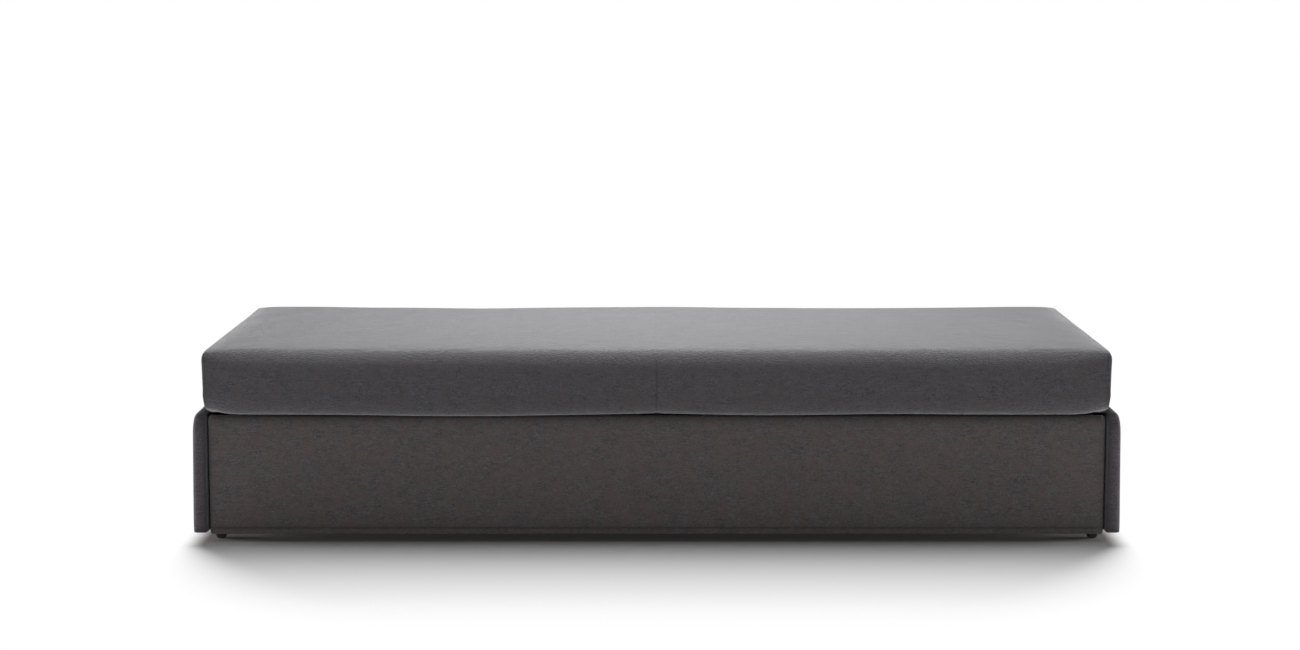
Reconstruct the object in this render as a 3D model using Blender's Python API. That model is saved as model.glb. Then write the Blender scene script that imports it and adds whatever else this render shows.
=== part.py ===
"""A backless daybed whose front panel pulls a second, low bed out on castors.

Metres, +Z up. The origin is on the floor under the middle of the daybed, +X points to the right of someone
facing it, and the front looks along -Y.
"""

import math
from dataclasses import dataclass

import bmesh
import bpy
from mathutils import Matrix

# Main mattress
MATTRESS_LENGTH = 2.000  # over the swollen end panels
MATTRESS_DEPTH = 0.850
MATTRESS_HEIGHT = 0.1445  # at its edges
MATTRESS_CROWN = 0.009  # added in the middle of the top
MATTRESS_TOP_RADIUS = 0.045
MATTRESS_BASE_RADIUS = 0.033
MATTRESS_SWELL = 0.0085  # end panels stand this far past their seams
SWELL_SHARE = 0.75  # an end panel swells up from its seam over this share of the smaller rounding
SWELL_FLOOR = 0.10  # phase of the swell's half wave at the bottom of an end panel
SWELL_PEAK = 0.765  # height of the fullest point, as a share of the end panel
CENTRE_SEAM_DEPTH = 0.0025
CENTRE_SEAM_WIDTH = 0.018
COVER_WALL = 0.003
ZIP_LENGTH = 1.200
ZIP_WIDTH = 0.012
ZIP_FROM_CURVE = 0.030

# Upholstered base panels
PLATFORM_HEIGHT = 0.2862  # top of the slats
SIDE_THICKNESS = 0.029
SIDE_TUCK = 0.009  # mattress ends reach this far over the side panels
SIDE_TOP_DROP = 0.0012  # side panels end this far below the top of the slats
SIDE_CORNER_RADIUS = 0.036
SIDE_FLOOR_GAP = 0.029
MATTRESS_OVERHANG = 0.005  # past the side panels, front and back
FRONT_THICKNESS = 0.026
FRONT_CORNER_RADIUS = 0.012
FRONT_RECESS = 0.010  # behind the front edges of the side panels
FRONT_END_GAP = 0.004
FRONT_FLOOR_GAP = 0.025
FRONT_TOP_DROP = 0.0015  # below the top of the slats, so that it slides out under the mattress
BACK_RECESS = 0.004
PANEL_EDGE_RADIUS = 0.008
PADDING = 0.0047  # padding and fabric on each face of a board

# Upper frame
RAIL_WIDTH = 0.030
RAIL_HEIGHT = 0.045
RAIL_WALL = 0.002
RAIL_CORNER = 0.003
RAIL_TO_FRONT_PANEL = 0.008
RAIL_PLATE_THICKNESS = 0.004
RAIL_PLATE_MARGIN = 0.003
RAIL_PLUG_LENGTH = 0.040
UPPER_SLAT_COUNT = 14
SLAT_WIDTH = 0.060
SLAT_THICKNESS = 0.010
SLAT_EDGE = 0.002
SLAT_END_INSET = 0.002
FIRST_SLAT_INSET = 0.020
FOOT_SPACING = 0.500  # between the two feet of a side panel
FOOT_DIAMETER = 0.026
FOOT_SOLE_DIAMETER = 0.021
FOOT_FLANGE = 0.004
FOOT_EDGE = 0.002
RUNNER_HEIGHT = 0.018
RUNNER_ABOVE_WHEELS = 0.005
RUNNER_FRONT_GAP = 0.014  # behind the front panel
RUNNER_EDGE = 0.002

# Trundle
WHEEL_DIAMETER = 0.050
WHEEL_WIDTH = 0.020
WHEEL_EDGE = 0.004
WHEEL_HUB_DIAMETER = 0.018
WHEEL_RIM_DIAMETER = 0.036
WHEEL_RECESS = 0.004
WHEEL_FROM_PANEL_END = 0.004
FRONT_AXLE_SETBACK = 0.070  # from the face of the front panel
REAR_AXLE_SETBACK = 0.075  # from the back of the trundle frame
AXLE_DIAMETER = 0.008
AXLE_SPIGOT_DIAMETER = 0.006
AXLE_COLLAR_DIAMETER = 0.014
AXLE_COLLAR_LENGTH = 0.0014
AXLE_HEAD_LENGTH = 0.0022
CASTOR_PLATE_THICKNESS = 0.004
CASTOR_PLATE_LENGTH = 0.044
CASTOR_PLATE_BELOW_AXLE = 0.012
CASTOR_PLATE_EDGE = 0.0015
TRUNDLE_TUBE = 0.030
TRUNDLE_TUBE_ABOVE_AXLE = 0.010
TRUNDLE_BACK_CLEARANCE = 0.015
STRAP_COUNT = 3
STRAP_WIDTH = 0.030
STRAP_THICKNESS = 0.003
STRAP_HEIGHT = 0.150
STRAP_EDGE = 0.001
STRAP_END_INSET = 0.220  # outer straps, from the ends of the front panel
MAT_SLAT_COUNT = 13
MAT_SLAT_THICKNESS = 0.009
MAT_TAPE_WIDTH = 0.040
MAT_TAPE_THICKNESS = 0.0015
MAT_TAPE_RISE = 0.003  # the tapes run through slots this far above the underside of the slats
MAT_TAPE_FROM_END = 0.150
TRUNDLE_MATTRESS_END_INSET = 0.032  # from the ends of the front panel
TRUNDLE_MATTRESS_GAP = 0.006  # behind the straps
TRUNDLE_HEADROOM = 0.014  # under the upper rails
TRUNDLE_MATTRESS_CROWN = 0.005
TRUNDLE_MATTRESS_RADIUS = 0.022
TRUNDLE_MATTRESS_SWELL = 0.005

# Clearances
FIT = 0.0003  # between pieces that touch
STUFFING_FIT = 0.0008  # between a core and its cover
AXLE_FIT = 0.0003

# How finely round forms are divided
WHEEL_SIDES = 24
AXLE_SIDES = 16
FOOT_SIDES = 24
CORNER_STEPS = 5
EDGE_STEPS = 3
WHEEL_EDGE_STEPS = 2
MATTRESS_COLUMNS = 6
MATTRESS_CORNER_STEPS = 4
TRUNDLE_MATTRESS_COLUMNS = 4
TRUNDLE_MATTRESS_CORNER_STEPS = 3
SMOOTH_BELOW = math.radians(40)
TINY = 0.0001

# Places worked out from the sizes above
SIDE_INNER = MATTRESS_LENGTH / 2 - SIDE_TUCK
SIDE_CENTRE = SIDE_INNER + SIDE_THICKNESS / 2
SIDE_DEPTH = MATTRESS_DEPTH - 2 * MATTRESS_OVERHANG
SIDE_HEIGHT = PLATFORM_HEIGHT - SIDE_TOP_DROP - SIDE_FLOOR_GAP
FRONT_HALF = SIDE_INNER - FRONT_END_GAP
FRONT_FACE = -SIDE_DEPTH / 2 + FRONT_RECESS
FRONT_REAR = FRONT_FACE + FRONT_THICKNESS
FRONT_HEIGHT = PLATFORM_HEIGHT - FRONT_TOP_DROP - FRONT_FLOOR_GAP
BACK_FACE = SIDE_DEPTH / 2 - BACK_RECESS
BACK_INNER = BACK_FACE - FRONT_THICKNESS
BACK_HEIGHT = PLATFORM_HEIGHT - FRONT_TOP_DROP - SIDE_FLOOR_GAP

RAIL_TOP = PLATFORM_HEIGHT - SLAT_THICKNESS - FIT
RAIL_CENTRE_Z = RAIL_TOP - RAIL_HEIGHT / 2
FRONT_RAIL_Y = FRONT_REAR + RAIL_TO_FRONT_PANEL + RAIL_WIDTH / 2
REAR_RAIL_Y = BACK_INNER - FIT - RAIL_WIDTH / 2
RAIL_PLATE_X = SIDE_INNER - FIT - RAIL_PLATE_THICKNESS / 2
RAIL_LENGTH = 2 * (SIDE_INNER - 2 * FIT - RAIL_PLATE_THICKNESS)

AXLE_Z = WHEEL_DIAMETER / 2
WHEEL_X = FRONT_HALF - WHEEL_FROM_PANEL_END - WHEEL_WIDTH / 2
CASTOR_PLATE_OUTER = WHEEL_X - WHEEL_WIDTH / 2 - AXLE_COLLAR_LENGTH - 2 * FIT
TRUNDLE_HALF = CASTOR_PLATE_OUTER - CASTOR_PLATE_THICKNESS - FIT
TUBE_BOTTOM = AXLE_Z + TRUNDLE_TUBE_ABOVE_AXLE
TUBE_CENTRE_Z = TUBE_BOTTOM + TRUNDLE_TUBE / 2
TUBE_TOP = TUBE_BOTTOM + TRUNDLE_TUBE
STRAP_REAR = FRONT_REAR + FIT + STRAP_THICKNESS
TRUNDLE_FRONT = STRAP_REAR + FIT
TRUNDLE_REAR = BACK_INNER - TRUNDLE_BACK_CLEARANCE
FRONT_AXLE_Y = FRONT_FACE + FRONT_AXLE_SETBACK
REAR_AXLE_Y = TRUNDLE_REAR - REAR_AXLE_SETBACK
MAT_TOP = TUBE_TOP + FIT + MAT_SLAT_THICKNESS
TRUNDLE_MATTRESS_BOTTOM = MAT_TOP + FIT


@dataclass
class Mattress:
    """The sewn shape of a mattress, with its bottom at z = 0 and its middle on the Z axis."""

    length: float
    depth: float
    height: float
    top_radius: float
    base_radius: float
    crown: float
    swell: float
    seam_depth: float
    seam_width: float
    columns: int
    corner_steps: int

    def swell_run(self, inset):
        """The distance over which an end panel swells up from its seam."""
        return SWELL_SHARE * (min(self.top_radius, self.base_radius) - inset)


MAIN_MATTRESS = Mattress(
    length=MATTRESS_LENGTH,
    depth=MATTRESS_DEPTH,
    height=MATTRESS_HEIGHT,
    top_radius=MATTRESS_TOP_RADIUS,
    base_radius=MATTRESS_BASE_RADIUS,
    crown=MATTRESS_CROWN,
    swell=MATTRESS_SWELL,
    seam_depth=CENTRE_SEAM_DEPTH,
    seam_width=CENTRE_SEAM_WIDTH,
    columns=MATTRESS_COLUMNS,
    corner_steps=MATTRESS_CORNER_STEPS,
)
TRUNDLE_MATTRESS_FRONT = STRAP_REAR + TRUNDLE_MATTRESS_GAP
TRUNDLE_MATTRESS = Mattress(
    length=2 * (FRONT_HALF - TRUNDLE_MATTRESS_END_INSET),
    depth=TRUNDLE_REAR - TRUNDLE_MATTRESS_FRONT,
    height=(
        RAIL_TOP - RAIL_HEIGHT - TRUNDLE_HEADROOM - TRUNDLE_MATTRESS_CROWN - TRUNDLE_MATTRESS_BOTTOM
    ),
    top_radius=TRUNDLE_MATTRESS_RADIUS,
    base_radius=TRUNDLE_MATTRESS_RADIUS,
    crown=TRUNDLE_MATTRESS_CROWN,
    swell=TRUNDLE_MATTRESS_SWELL,
    seam_depth=0.0,
    seam_width=CENTRE_SEAM_WIDTH,
    columns=TRUNDLE_MATTRESS_COLUMNS,
    corner_steps=TRUNDLE_MATTRESS_CORNER_STEPS,
)


def clear_scene():
    for old in list(bpy.data.objects):
        bpy.data.objects.remove(old, do_unlink=True)


def finish(name, colour, roughness, metallic=0.0):
    material = bpy.data.materials.new(name)
    material.use_nodes = True
    shader = material.node_tree.nodes["Principled BSDF"]
    shader.inputs["Base Color"].default_value = (*colour, 1.0)
    shader.inputs["Roughness"].default_value = roughness
    shader.inputs["Metallic"].default_value = metallic
    return material


def add_piece(name, bm, material, location, parent, turn=(0.0, 0.0, 0.0), smooth=False):
    """Turns a bmesh into a named object that rides on its bed's empty."""
    mesh = bpy.data.meshes.new(name)
    bm.to_mesh(mesh)
    bm.free()
    if smooth:
        mesh.shade_smooth()
        mesh.set_sharp_from_angle(angle=SMOOTH_BELOW)
    mesh.materials.append(material)
    piece = bpy.data.objects.new(name, mesh)
    piece.location = location
    piece.rotation_euler = turn
    piece.parent = parent
    bpy.context.scene.collection.objects.link(piece)
    return piece


def add_boolean(piece, operation, bm, location=(0.0, 0.0, 0.0)):
    """Cuts a helper solid out of a piece, or joins it on. The helper is placed in the piece's own space."""
    mesh = bpy.data.meshes.new(piece.name + "_helper")
    bm.to_mesh(mesh)
    bm.free()
    helper = bpy.data.objects.new(mesh.name, mesh)
    helper.parent = piece
    helper.location = location
    helper.hide_render = True
    helper.display_type = "WIRE"
    bpy.context.scene.collection.objects.link(helper)
    modifier = piece.modifiers.new(operation.lower(), "BOOLEAN")
    modifier.operation = operation
    modifier.object = helper


def block(size, edge=0.0):
    bm = bmesh.new()
    bmesh.ops.create_cube(bm, size=1.0)
    bmesh.ops.scale(bm, vec=size, verts=bm.verts)
    if edge:
        bmesh.ops.bevel(bm, geom=bm.edges, offset=edge, segments=1, profile=0.5, affect="EDGES")
    return bm


def open_tube(length, width, height):
    """The outer skin of a rectangular tube along X. A Solidify gives it its wall."""
    bm = block((length, width, height))
    long_edges = [e for e in bm.edges if abs(e.verts[0].co.x - e.verts[1].co.x) > TINY]
    ends = [f for f in bm.faces if abs(f.normal.x) > 0.5]
    bmesh.ops.delete(bm, geom=ends, context="FACES_ONLY")
    bmesh.ops.bevel(
        bm, geom=long_edges, offset=RAIL_CORNER, segments=2, profile=0.5, affect="EDGES"
    )
    return bm


def turned(profile, sides):
    """A solid turned about Z from (radius, z) points. An outline that leaves the axis open has a bore."""
    bm = bmesh.new()
    points = [bm.verts.new((radius, 0.0, z)) for radius, z in profile]
    lines = [bm.edges.new(pair) for pair in zip(points, points[1:])]
    if profile[0][0] > TINY:
        lines.append(bm.edges.new((points[-1], points[0])))
    bmesh.ops.spin(
        bm,
        geom=points + lines,
        cent=(0.0, 0.0, 0.0),
        axis=(0.0, 0.0, 1.0),
        angle=math.tau,
        steps=sides,
        use_merge=True,
    )
    bmesh.ops.remove_doubles(bm, verts=bm.verts, dist=TINY / 10)
    bmesh.ops.recalc_face_normals(bm, faces=bm.faces)
    return bm


def arc(centre, radius, start, end, steps):
    """Points on a circle, from one angle to another in degrees."""
    angles = [math.radians(start + (end - start) * i / steps) for i in range(steps + 1)]
    return [(centre[0] + radius * math.cos(a), centre[1] + radius * math.sin(a)) for a in angles]


def panel(width, height, thickness, radius, edge=0.0):
    """A board that stands on z = 0 across X, with round upper corners and, if asked, soft edges."""
    half = width / 2
    outline = [(-half, 0.0)]
    outline += arc((radius - half, height - radius), radius, 180, 90, CORNER_STEPS)
    outline += arc((half - radius, height - radius), radius, 90, 0, CORNER_STEPS)
    outline += [(half, 0.0)]
    bm = bmesh.new()
    face = bm.faces.new([bm.verts.new((x, -thickness / 2, z)) for x, z in outline])
    grown = bmesh.ops.extrude_face_region(bm, geom=[face])
    moved = [v for v in grown["geom"] if isinstance(v, bmesh.types.BMVert)]
    bmesh.ops.translate(bm, vec=(0.0, thickness, 0.0), verts=moved)
    bmesh.ops.recalc_face_normals(bm, faces=bm.faces)
    if edge:
        rims = [
            e
            for e in bm.edges
            if abs(e.verts[0].co.y - e.verts[1].co.y) < TINY and max(v.co.z for v in e.verts) > TINY
        ]
        bmesh.ops.bevel(
            bm, geom=rims, offset=edge, segments=EDGE_STEPS, profile=0.5, affect="EDGES"
        )
    return bm


def add_upholstered_panel(name, width, height, thickness, radius, location, turn, parent, finishes):
    """A board and the padded cover that is pulled over it from above. Both end at the same lower edge."""
    cover = add_piece(
        name + "_cover",
        panel(width, height, thickness, radius, PANEL_EDGE_RADIUS),
        finishes["fabric"],
        location,
        parent,
        turn,
        smooth=True,
    )
    drop = height  # the pocket's helper runs this far out of the open lower edge
    pocket = panel(
        width - 2 * PADDING, height - PADDING + drop, thickness - 2 * PADDING, radius - PADDING
    )
    add_boolean(cover, "DIFFERENCE", pocket, (0.0, 0.0, -drop))
    shell = PADDING + FIT
    board = panel(width - 2 * shell, height - shell, thickness - 2 * shell, radius - shell)
    add_piece(name + "_board", board, finishes["board"], location, parent, turn)


def cut_loops(bm, normal, places, faces=None):
    """Cuts new edge loops through a mesh, or through some of its faces, square to an axis."""
    for place in places:
        chosen = list(bm.faces) if faces is None else faces(bm)
        edges = {e for f in chosen for e in f.edges}
        verts = {v for f in chosen for v in f.verts}
        bmesh.ops.bisect_plane(
            bm,
            geom=list(verts) + list(edges) + chosen,
            dist=TINY,
            plane_co=[place * axis for axis in normal],
            plane_no=normal,
        )


def mattress_body(shape, inset=0.0):
    """The closed skin of a mattress, or of its core when it is inset by the cover's wall."""
    seam_x = shape.length / 2 - shape.swell - inset
    half_depth = shape.depth / 2 - inset
    bottom = inset
    top = shape.height - inset
    top_radius = shape.top_radius - inset
    base_radius = shape.base_radius - inset
    bm = block((2 * seam_x, 2 * half_depth, top - bottom))
    bmesh.ops.translate(bm, vec=(0.0, 0.0, (top + bottom) / 2), verts=bm.verts)
    for level, radius in ((top, top_radius), (bottom, base_radius)):
        edges = [
            e
            for e in bm.edges
            if all(abs(v.co.z - level) < TINY for v in e.verts)
            and abs(e.verts[0].co.x - e.verts[1].co.x) > TINY
        ]
        bmesh.ops.bevel(
            bm, geom=edges, offset=radius, segments=shape.corner_steps, profile=0.5, affect="EDGES"
        )

    # End panels get a rim for their swell, and every face gets loops to bend at
    ends = [f for f in bm.faces if abs(f.normal.x) > 0.5]
    run = shape.swell_run(inset)
    for thickness in (run / 3, run * 2 / 3):
        bmesh.ops.inset_individual(bm, faces=ends, thickness=thickness, use_even_offset=True)
    curve = [
        bottom + base_radius * (1 - math.cos(math.pi / 2 * i / shape.corner_steps))
        for i in range(1, shape.corner_steps + 1)
    ]
    flank = top - top_radius - curve[-1]
    cut_loops(bm, (0.0, 0.0, 1.0), curve + [curve[-1] + flank / 2, top - top_radius])
    flat = half_depth - top_radius
    cut_loops(bm, (0.0, 1.0, 0.0), [-flat / 2, 0.0, flat / 2])
    steps = range(1, shape.columns)
    columns = [seam_x * (2 * i / shape.columns - 1) for i in steps]
    if shape.seam_depth:
        columns += [-shape.seam_width / 2, 0.0, shape.seam_width / 2]
    cut_loops(bm, (1.0, 0.0, 0.0), columns)

    bm.normal_update()
    places = [bend(v, shape, seam_x, half_depth, bottom, top, inset) for v in bm.verts]
    for vert, place in zip(bm.verts, places):
        vert.co = place
    return bm


def bend(vert, shape, seam_x, half_depth, bottom, top, inset):
    """Where a point of the plain mattress lies once it is sewn and stuffed."""
    x, y, z = vert.co
    level = (z - bottom) / (top - bottom)
    crown = shape.crown * level * (1 - (y / half_depth) ** 2) * (1 - (x / seam_x) ** 2)
    if abs(x) < TINY and shape.seam_depth and level > TINY:
        x, y, z = vert.co - vert.normal * shape.seam_depth
    if abs(x) > seam_x - TINY:
        base_radius = shape.base_radius - inset
        radius = shape.top_radius - inset if level > 0.5 else base_radius
        from_side = half_depth - abs(y)
        from_edge = min(z - bottom, top - z)
        depth_inside = min(from_side, from_edge)
        if from_side < radius and from_edge < radius:
            depth_inside = radius - math.hypot(radius - from_side, radius - from_edge)
        run = 1 - min(max(depth_inside / shape.swell_run(inset), 0.0), 1.0)
        fullness = math.sin(math.pi * (SWELL_FLOOR + (0.5 - SWELL_FLOOR) * level / SWELL_PEAK))
        under = max(base_radius - (z - bottom), 0.0)
        tuck = base_radius - math.sqrt(max(base_radius**2 - under**2, 0.0))
        x = math.copysign(seam_x - tuck + shape.swell * fullness * (1 - run**2), x)
    return x, y, z + crown


def add_mattress(name, shape, location, parent, finishes, fabric):
    """A foam core and the zipped cover round it. The cover opens only along its zip, under the back edge."""
    skin = mattress_body(shape)
    zip_y = shape.depth / 2 - shape.base_radius - ZIP_FROM_CURVE

    def underside(bm):
        return [f for f in bm.faces if all(v.co.z < TINY for v in f.verts)]

    cut_loops(skin, (0.0, 1.0, 0.0), [zip_y - ZIP_WIDTH / 2, zip_y + ZIP_WIDTH / 2], underside)
    cut_loops(skin, (1.0, 0.0, 0.0), [-ZIP_LENGTH / 2, ZIP_LENGTH / 2], underside)
    slit = [
        f
        for f in underside(skin)
        if abs(f.calc_center_median().y - zip_y) < ZIP_WIDTH / 2
        and abs(f.calc_center_median().x) < ZIP_LENGTH / 2
    ]
    bmesh.ops.delete(skin, geom=slit, context="FACES")
    cover = add_piece(name + "_cover", skin, finishes[fabric], location, parent, smooth=True)
    wall = cover.modifiers.new("wall", "SOLIDIFY")
    wall.thickness = COVER_WALL
    wall.offset = -1.0
    wall.use_even_offset = True
    core = mattress_body(shape, COVER_WALL + STUFFING_FIT)
    add_piece(name + "_core", core, finishes["foam"], location, parent, smooth=True)


def add_tube(name, length, width, height, location, parent, material, along_y=False):
    turn = (0.0, 0.0, math.pi / 2 if along_y else 0.0)
    piece = add_piece(name, open_tube(length, width, height), material, location, parent, turn)
    wall = piece.modifiers.new("wall", "SOLIDIFY")
    wall.thickness = RAIL_WALL
    wall.offset = -1.0
    wall.use_even_offset = True


def rail_bracket():
    """A plate that bolts to a side board, with a plug that a rail slides over. The plug points along -X."""
    bm = block(
        (
            RAIL_PLATE_THICKNESS,
            RAIL_WIDTH + 2 * RAIL_PLATE_MARGIN,
            RAIL_HEIGHT + 2 * RAIL_PLATE_MARGIN,
        )
    )
    inner = [f for f in bm.faces if f.normal.x < -0.5]
    to_plug = RAIL_PLATE_MARGIN + RAIL_WALL + FIT
    bmesh.ops.inset_individual(bm, faces=inner, thickness=to_plug, use_even_offset=True)
    grown = bmesh.ops.extrude_discrete_faces(bm, faces=inner)
    tip = {v for f in grown["faces"] for v in f.verts}
    bmesh.ops.translate(bm, vec=(-RAIL_PLUG_LENGTH, 0.0, 0.0), verts=list(tip))
    plug_edges = [e for e in bm.edges if len(tip.intersection(e.verts)) == 1]
    bmesh.ops.bevel(
        bm, geom=plug_edges, offset=RAIL_CORNER, segments=1, profile=0.5, affect="EDGES"
    )
    return bm


def spread(count, reach):
    """Evenly spaced places from -reach to +reach."""
    return [reach * (2 * i / (count - 1) - 1) for i in range(count)]


def add_upper_frame(bed, finishes):
    steel = finishes["frame_steel"]
    for end, y in (("front", FRONT_RAIL_Y), ("rear", REAR_RAIL_Y)):
        add_tube(
            f"upper_{end}_rail", RAIL_LENGTH, RAIL_WIDTH, RAIL_HEIGHT, (0.0, y, RAIL_CENTRE_Z), bed, steel
        )
        for side, sign in (("left", -1), ("right", 1)):
            add_piece(
                f"rail_bracket_{end}_{side}",
                rail_bracket(),
                finishes["zinc"],
                (sign * RAIL_PLATE_X, y, RAIL_CENTRE_Z),
                bed,
                (0.0, 0.0, 0.0 if sign > 0 else math.pi),
            )
    slat_front = FRONT_RAIL_Y - RAIL_WIDTH / 2 + SLAT_END_INSET
    slat_rear = REAR_RAIL_Y + RAIL_WIDTH / 2 - SLAT_END_INSET
    reach = RAIL_LENGTH / 2 - FIRST_SLAT_INSET - SLAT_WIDTH / 2
    for number, x in enumerate(spread(UPPER_SLAT_COUNT, reach), 1):
        add_piece(
            f"upper_slat_{number:02d}",
            block((SLAT_WIDTH, slat_rear - slat_front, SLAT_THICKNESS), SLAT_EDGE),
            finishes["beech"],
            (x, (slat_front + slat_rear) / 2, PLATFORM_HEIGHT - SLAT_THICKNESS / 2),
            bed,
        )


def add_guide_runners(bed, finishes):
    """Bars on the side panels, over the wheels, that the castor brackets slide along."""
    inner = CASTOR_PLATE_OUTER + FIT
    outer = SIDE_INNER - FIT
    front = FRONT_REAR + RUNNER_FRONT_GAP
    rear = BACK_INNER - FIT
    height = WHEEL_DIAMETER + RUNNER_ABOVE_WHEELS + RUNNER_HEIGHT / 2
    for side, sign in (("left", -1), ("right", 1)):
        add_piece(
            f"guide_runner_{side}",
            block((outer - inner, rear - front, RUNNER_HEIGHT), RUNNER_EDGE),
            finishes["beech"],
            (sign * (inner + outer) / 2, (front + rear) / 2, height),
            bed,
        )


def foot():
    """A turned glide with a wide flange under the board and a narrower sole."""
    height = SIDE_FLOOR_GAP - FIT
    return turned(
        [
            (0.0, 0.0),
            (FOOT_SOLE_DIAMETER / 2 - FOOT_EDGE, 0.0),
            (FOOT_SOLE_DIAMETER / 2, FOOT_EDGE),
            (FOOT_SOLE_DIAMETER / 2, height - FOOT_FLANGE),
            (FOOT_DIAMETER / 2, height - FOOT_FLANGE),
            (FOOT_DIAMETER / 2, height),
            (0.0, height),
        ],
        FOOT_SIDES,
    )


def add_main_bed(bed, finishes):
    for side, sign in (("left", -1), ("right", 1)):
        add_upholstered_panel(
            f"{side}_side",
            SIDE_DEPTH,
            SIDE_HEIGHT,
            SIDE_THICKNESS,
            SIDE_CORNER_RADIUS,
            (sign * SIDE_CENTRE, 0.0, SIDE_FLOOR_GAP),
            (0.0, 0.0, math.pi / 2),
            bed,
            finishes,
        )
        for end, y in (("front", -FOOT_SPACING / 2), ("rear", FOOT_SPACING / 2)):
            place = (sign * SIDE_CENTRE, y, 0.0)
            add_piece(f"foot_{end}_{side}", foot(), finishes["black_plastic"], place, bed, smooth=True)
    add_upholstered_panel(
        "back",
        2 * FRONT_HALF,
        BACK_HEIGHT,
        FRONT_THICKNESS,
        FRONT_CORNER_RADIUS,
        (0.0, (BACK_FACE + BACK_INNER) / 2, SIDE_FLOOR_GAP),
        (0.0, 0.0, 0.0),
        bed,
        finishes,
    )
    place = (0.0, (BACK_FACE + BACK_INNER) / 2, 0.0)
    add_piece("foot_back_centre", foot(), finishes["black_plastic"], place, bed, smooth=True)
    add_upper_frame(bed, finishes)
    add_guide_runners(bed, finishes)
    add_mattress("mattress", MAIN_MATTRESS, (0.0, 0.0, PLATFORM_HEIGHT + FIT), bed, finishes, "fabric")


def castor_wheel():
    half = WHEEL_WIDTH / 2
    radius = WHEEL_DIAMETER / 2
    bore = AXLE_DIAMETER / 2 + AXLE_FIT
    face = half - WHEEL_RECESS
    upper = arc((radius - WHEEL_EDGE, half - WHEEL_EDGE), WHEEL_EDGE, 90, 0, WHEEL_EDGE_STEPS)
    side = [
        (bore, half),
        (WHEEL_HUB_DIAMETER / 2, half),
        (WHEEL_HUB_DIAMETER / 2, face),
        (WHEEL_RIM_DIAMETER / 2, face),
        (WHEEL_RIM_DIAMETER / 2, half),
    ]
    outer = side + upper
    return turned(outer + [(r, -z) for r, z in reversed(outer)], WHEEL_SIDES)


def castor_axle():
    """A shouldered pin. Its spigot fills the bracket's hole and its head keeps the wheel on."""
    inner = -WHEEL_WIDTH / 2 - FIT
    collar = inner - AXLE_COLLAR_LENGTH
    spigot = collar - CASTOR_PLATE_THICKNESS
    head = WHEEL_WIDTH / 2 + FIT
    return turned(
        [
            (0.0, spigot),
            (AXLE_SPIGOT_DIAMETER / 2, spigot),
            (AXLE_SPIGOT_DIAMETER / 2, collar),
            (AXLE_COLLAR_DIAMETER / 2, collar),
            (AXLE_COLLAR_DIAMETER / 2, inner),
            (AXLE_DIAMETER / 2, inner),
            (AXLE_DIAMETER / 2, head),
            (AXLE_COLLAR_DIAMETER / 2, head),
            (AXLE_COLLAR_DIAMETER / 2, head + AXLE_HEAD_LENGTH),
            (0.0, head + AXLE_HEAD_LENGTH),
        ],
        AXLE_SIDES,
    )


def add_castor(name, sign, y, trundle, finishes):
    """A bracket plate on the outer face of a side tube, its axle, and the wheel that turns on it."""
    outward = (0.0, sign * math.pi / 2, 0.0)
    place = (sign * WHEEL_X, y, AXLE_Z)
    add_piece(f"castor_wheel_{name}", castor_wheel(), finishes["wheel"], place, trundle, outward, smooth=True)
    add_piece(f"castor_axle_{name}", castor_axle(), finishes["zinc"], place, trundle, outward, smooth=True)
    plate_bottom = AXLE_Z - CASTOR_PLATE_BELOW_AXLE
    plate_height = TUBE_TOP - plate_bottom
    plate_z = plate_bottom + plate_height / 2
    bracket = add_piece(
        f"castor_bracket_{name}",
        block((CASTOR_PLATE_THICKNESS, CASTOR_PLATE_LENGTH, plate_height), CASTOR_PLATE_EDGE),
        finishes["zinc"],
        (sign * (CASTOR_PLATE_OUTER - CASTOR_PLATE_THICKNESS / 2), y, plate_z),
        trundle,
    )
    hole = turned(
        [
            (0.0, -CASTOR_PLATE_THICKNESS),
            (AXLE_SPIGOT_DIAMETER / 2 + AXLE_FIT, -CASTOR_PLATE_THICKNESS),
            (AXLE_SPIGOT_DIAMETER / 2 + AXLE_FIT, CASTOR_PLATE_THICKNESS),
            (0.0, CASTOR_PLATE_THICKNESS),
        ],
        AXLE_SIDES,
    )
    bmesh.ops.rotate(hole, verts=hole.verts, matrix=Matrix.Rotation(math.pi / 2, 3, "Y"))
    add_boolean(bracket, "DIFFERENCE", hole, (0.0, 0.0, AXLE_Z - plate_z))


def add_trundle_frame(trundle, finishes):
    steel = finishes["frame_steel"]
    tube = TRUNDLE_TUBE
    for end, y in (("front", TRUNDLE_FRONT + tube / 2), ("rear", TRUNDLE_REAR - tube / 2)):
        add_tube(
            f"trundle_{end}_tube", 2 * TRUNDLE_HALF, tube, tube, (0.0, y, TUBE_CENTRE_Z), trundle, steel
        )
    side_length = TRUNDLE_REAR - TRUNDLE_FRONT - 2 * tube - 2 * FIT
    middle = (TRUNDLE_REAR + TRUNDLE_FRONT) / 2
    side_x = TRUNDLE_HALF - tube / 2
    for name, x in (("left_tube", -side_x), ("centre_bar", 0.0), ("right_tube", side_x)):
        add_tube(
            f"trundle_{name}", side_length, tube, tube, (x, middle, TUBE_CENTRE_Z), trundle, steel, True
        )
    strap_y = STRAP_REAR - STRAP_THICKNESS / 2
    for number, x in enumerate(spread(STRAP_COUNT, FRONT_HALF - STRAP_END_INSET), 1):
        add_piece(
            f"front_panel_strap_{number}",
            block((STRAP_WIDTH, STRAP_THICKNESS, STRAP_HEIGHT), STRAP_EDGE),
            finishes["zinc"],
            (x, strap_y, TUBE_BOTTOM + STRAP_HEIGHT / 2),
            trundle,
        )


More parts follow.
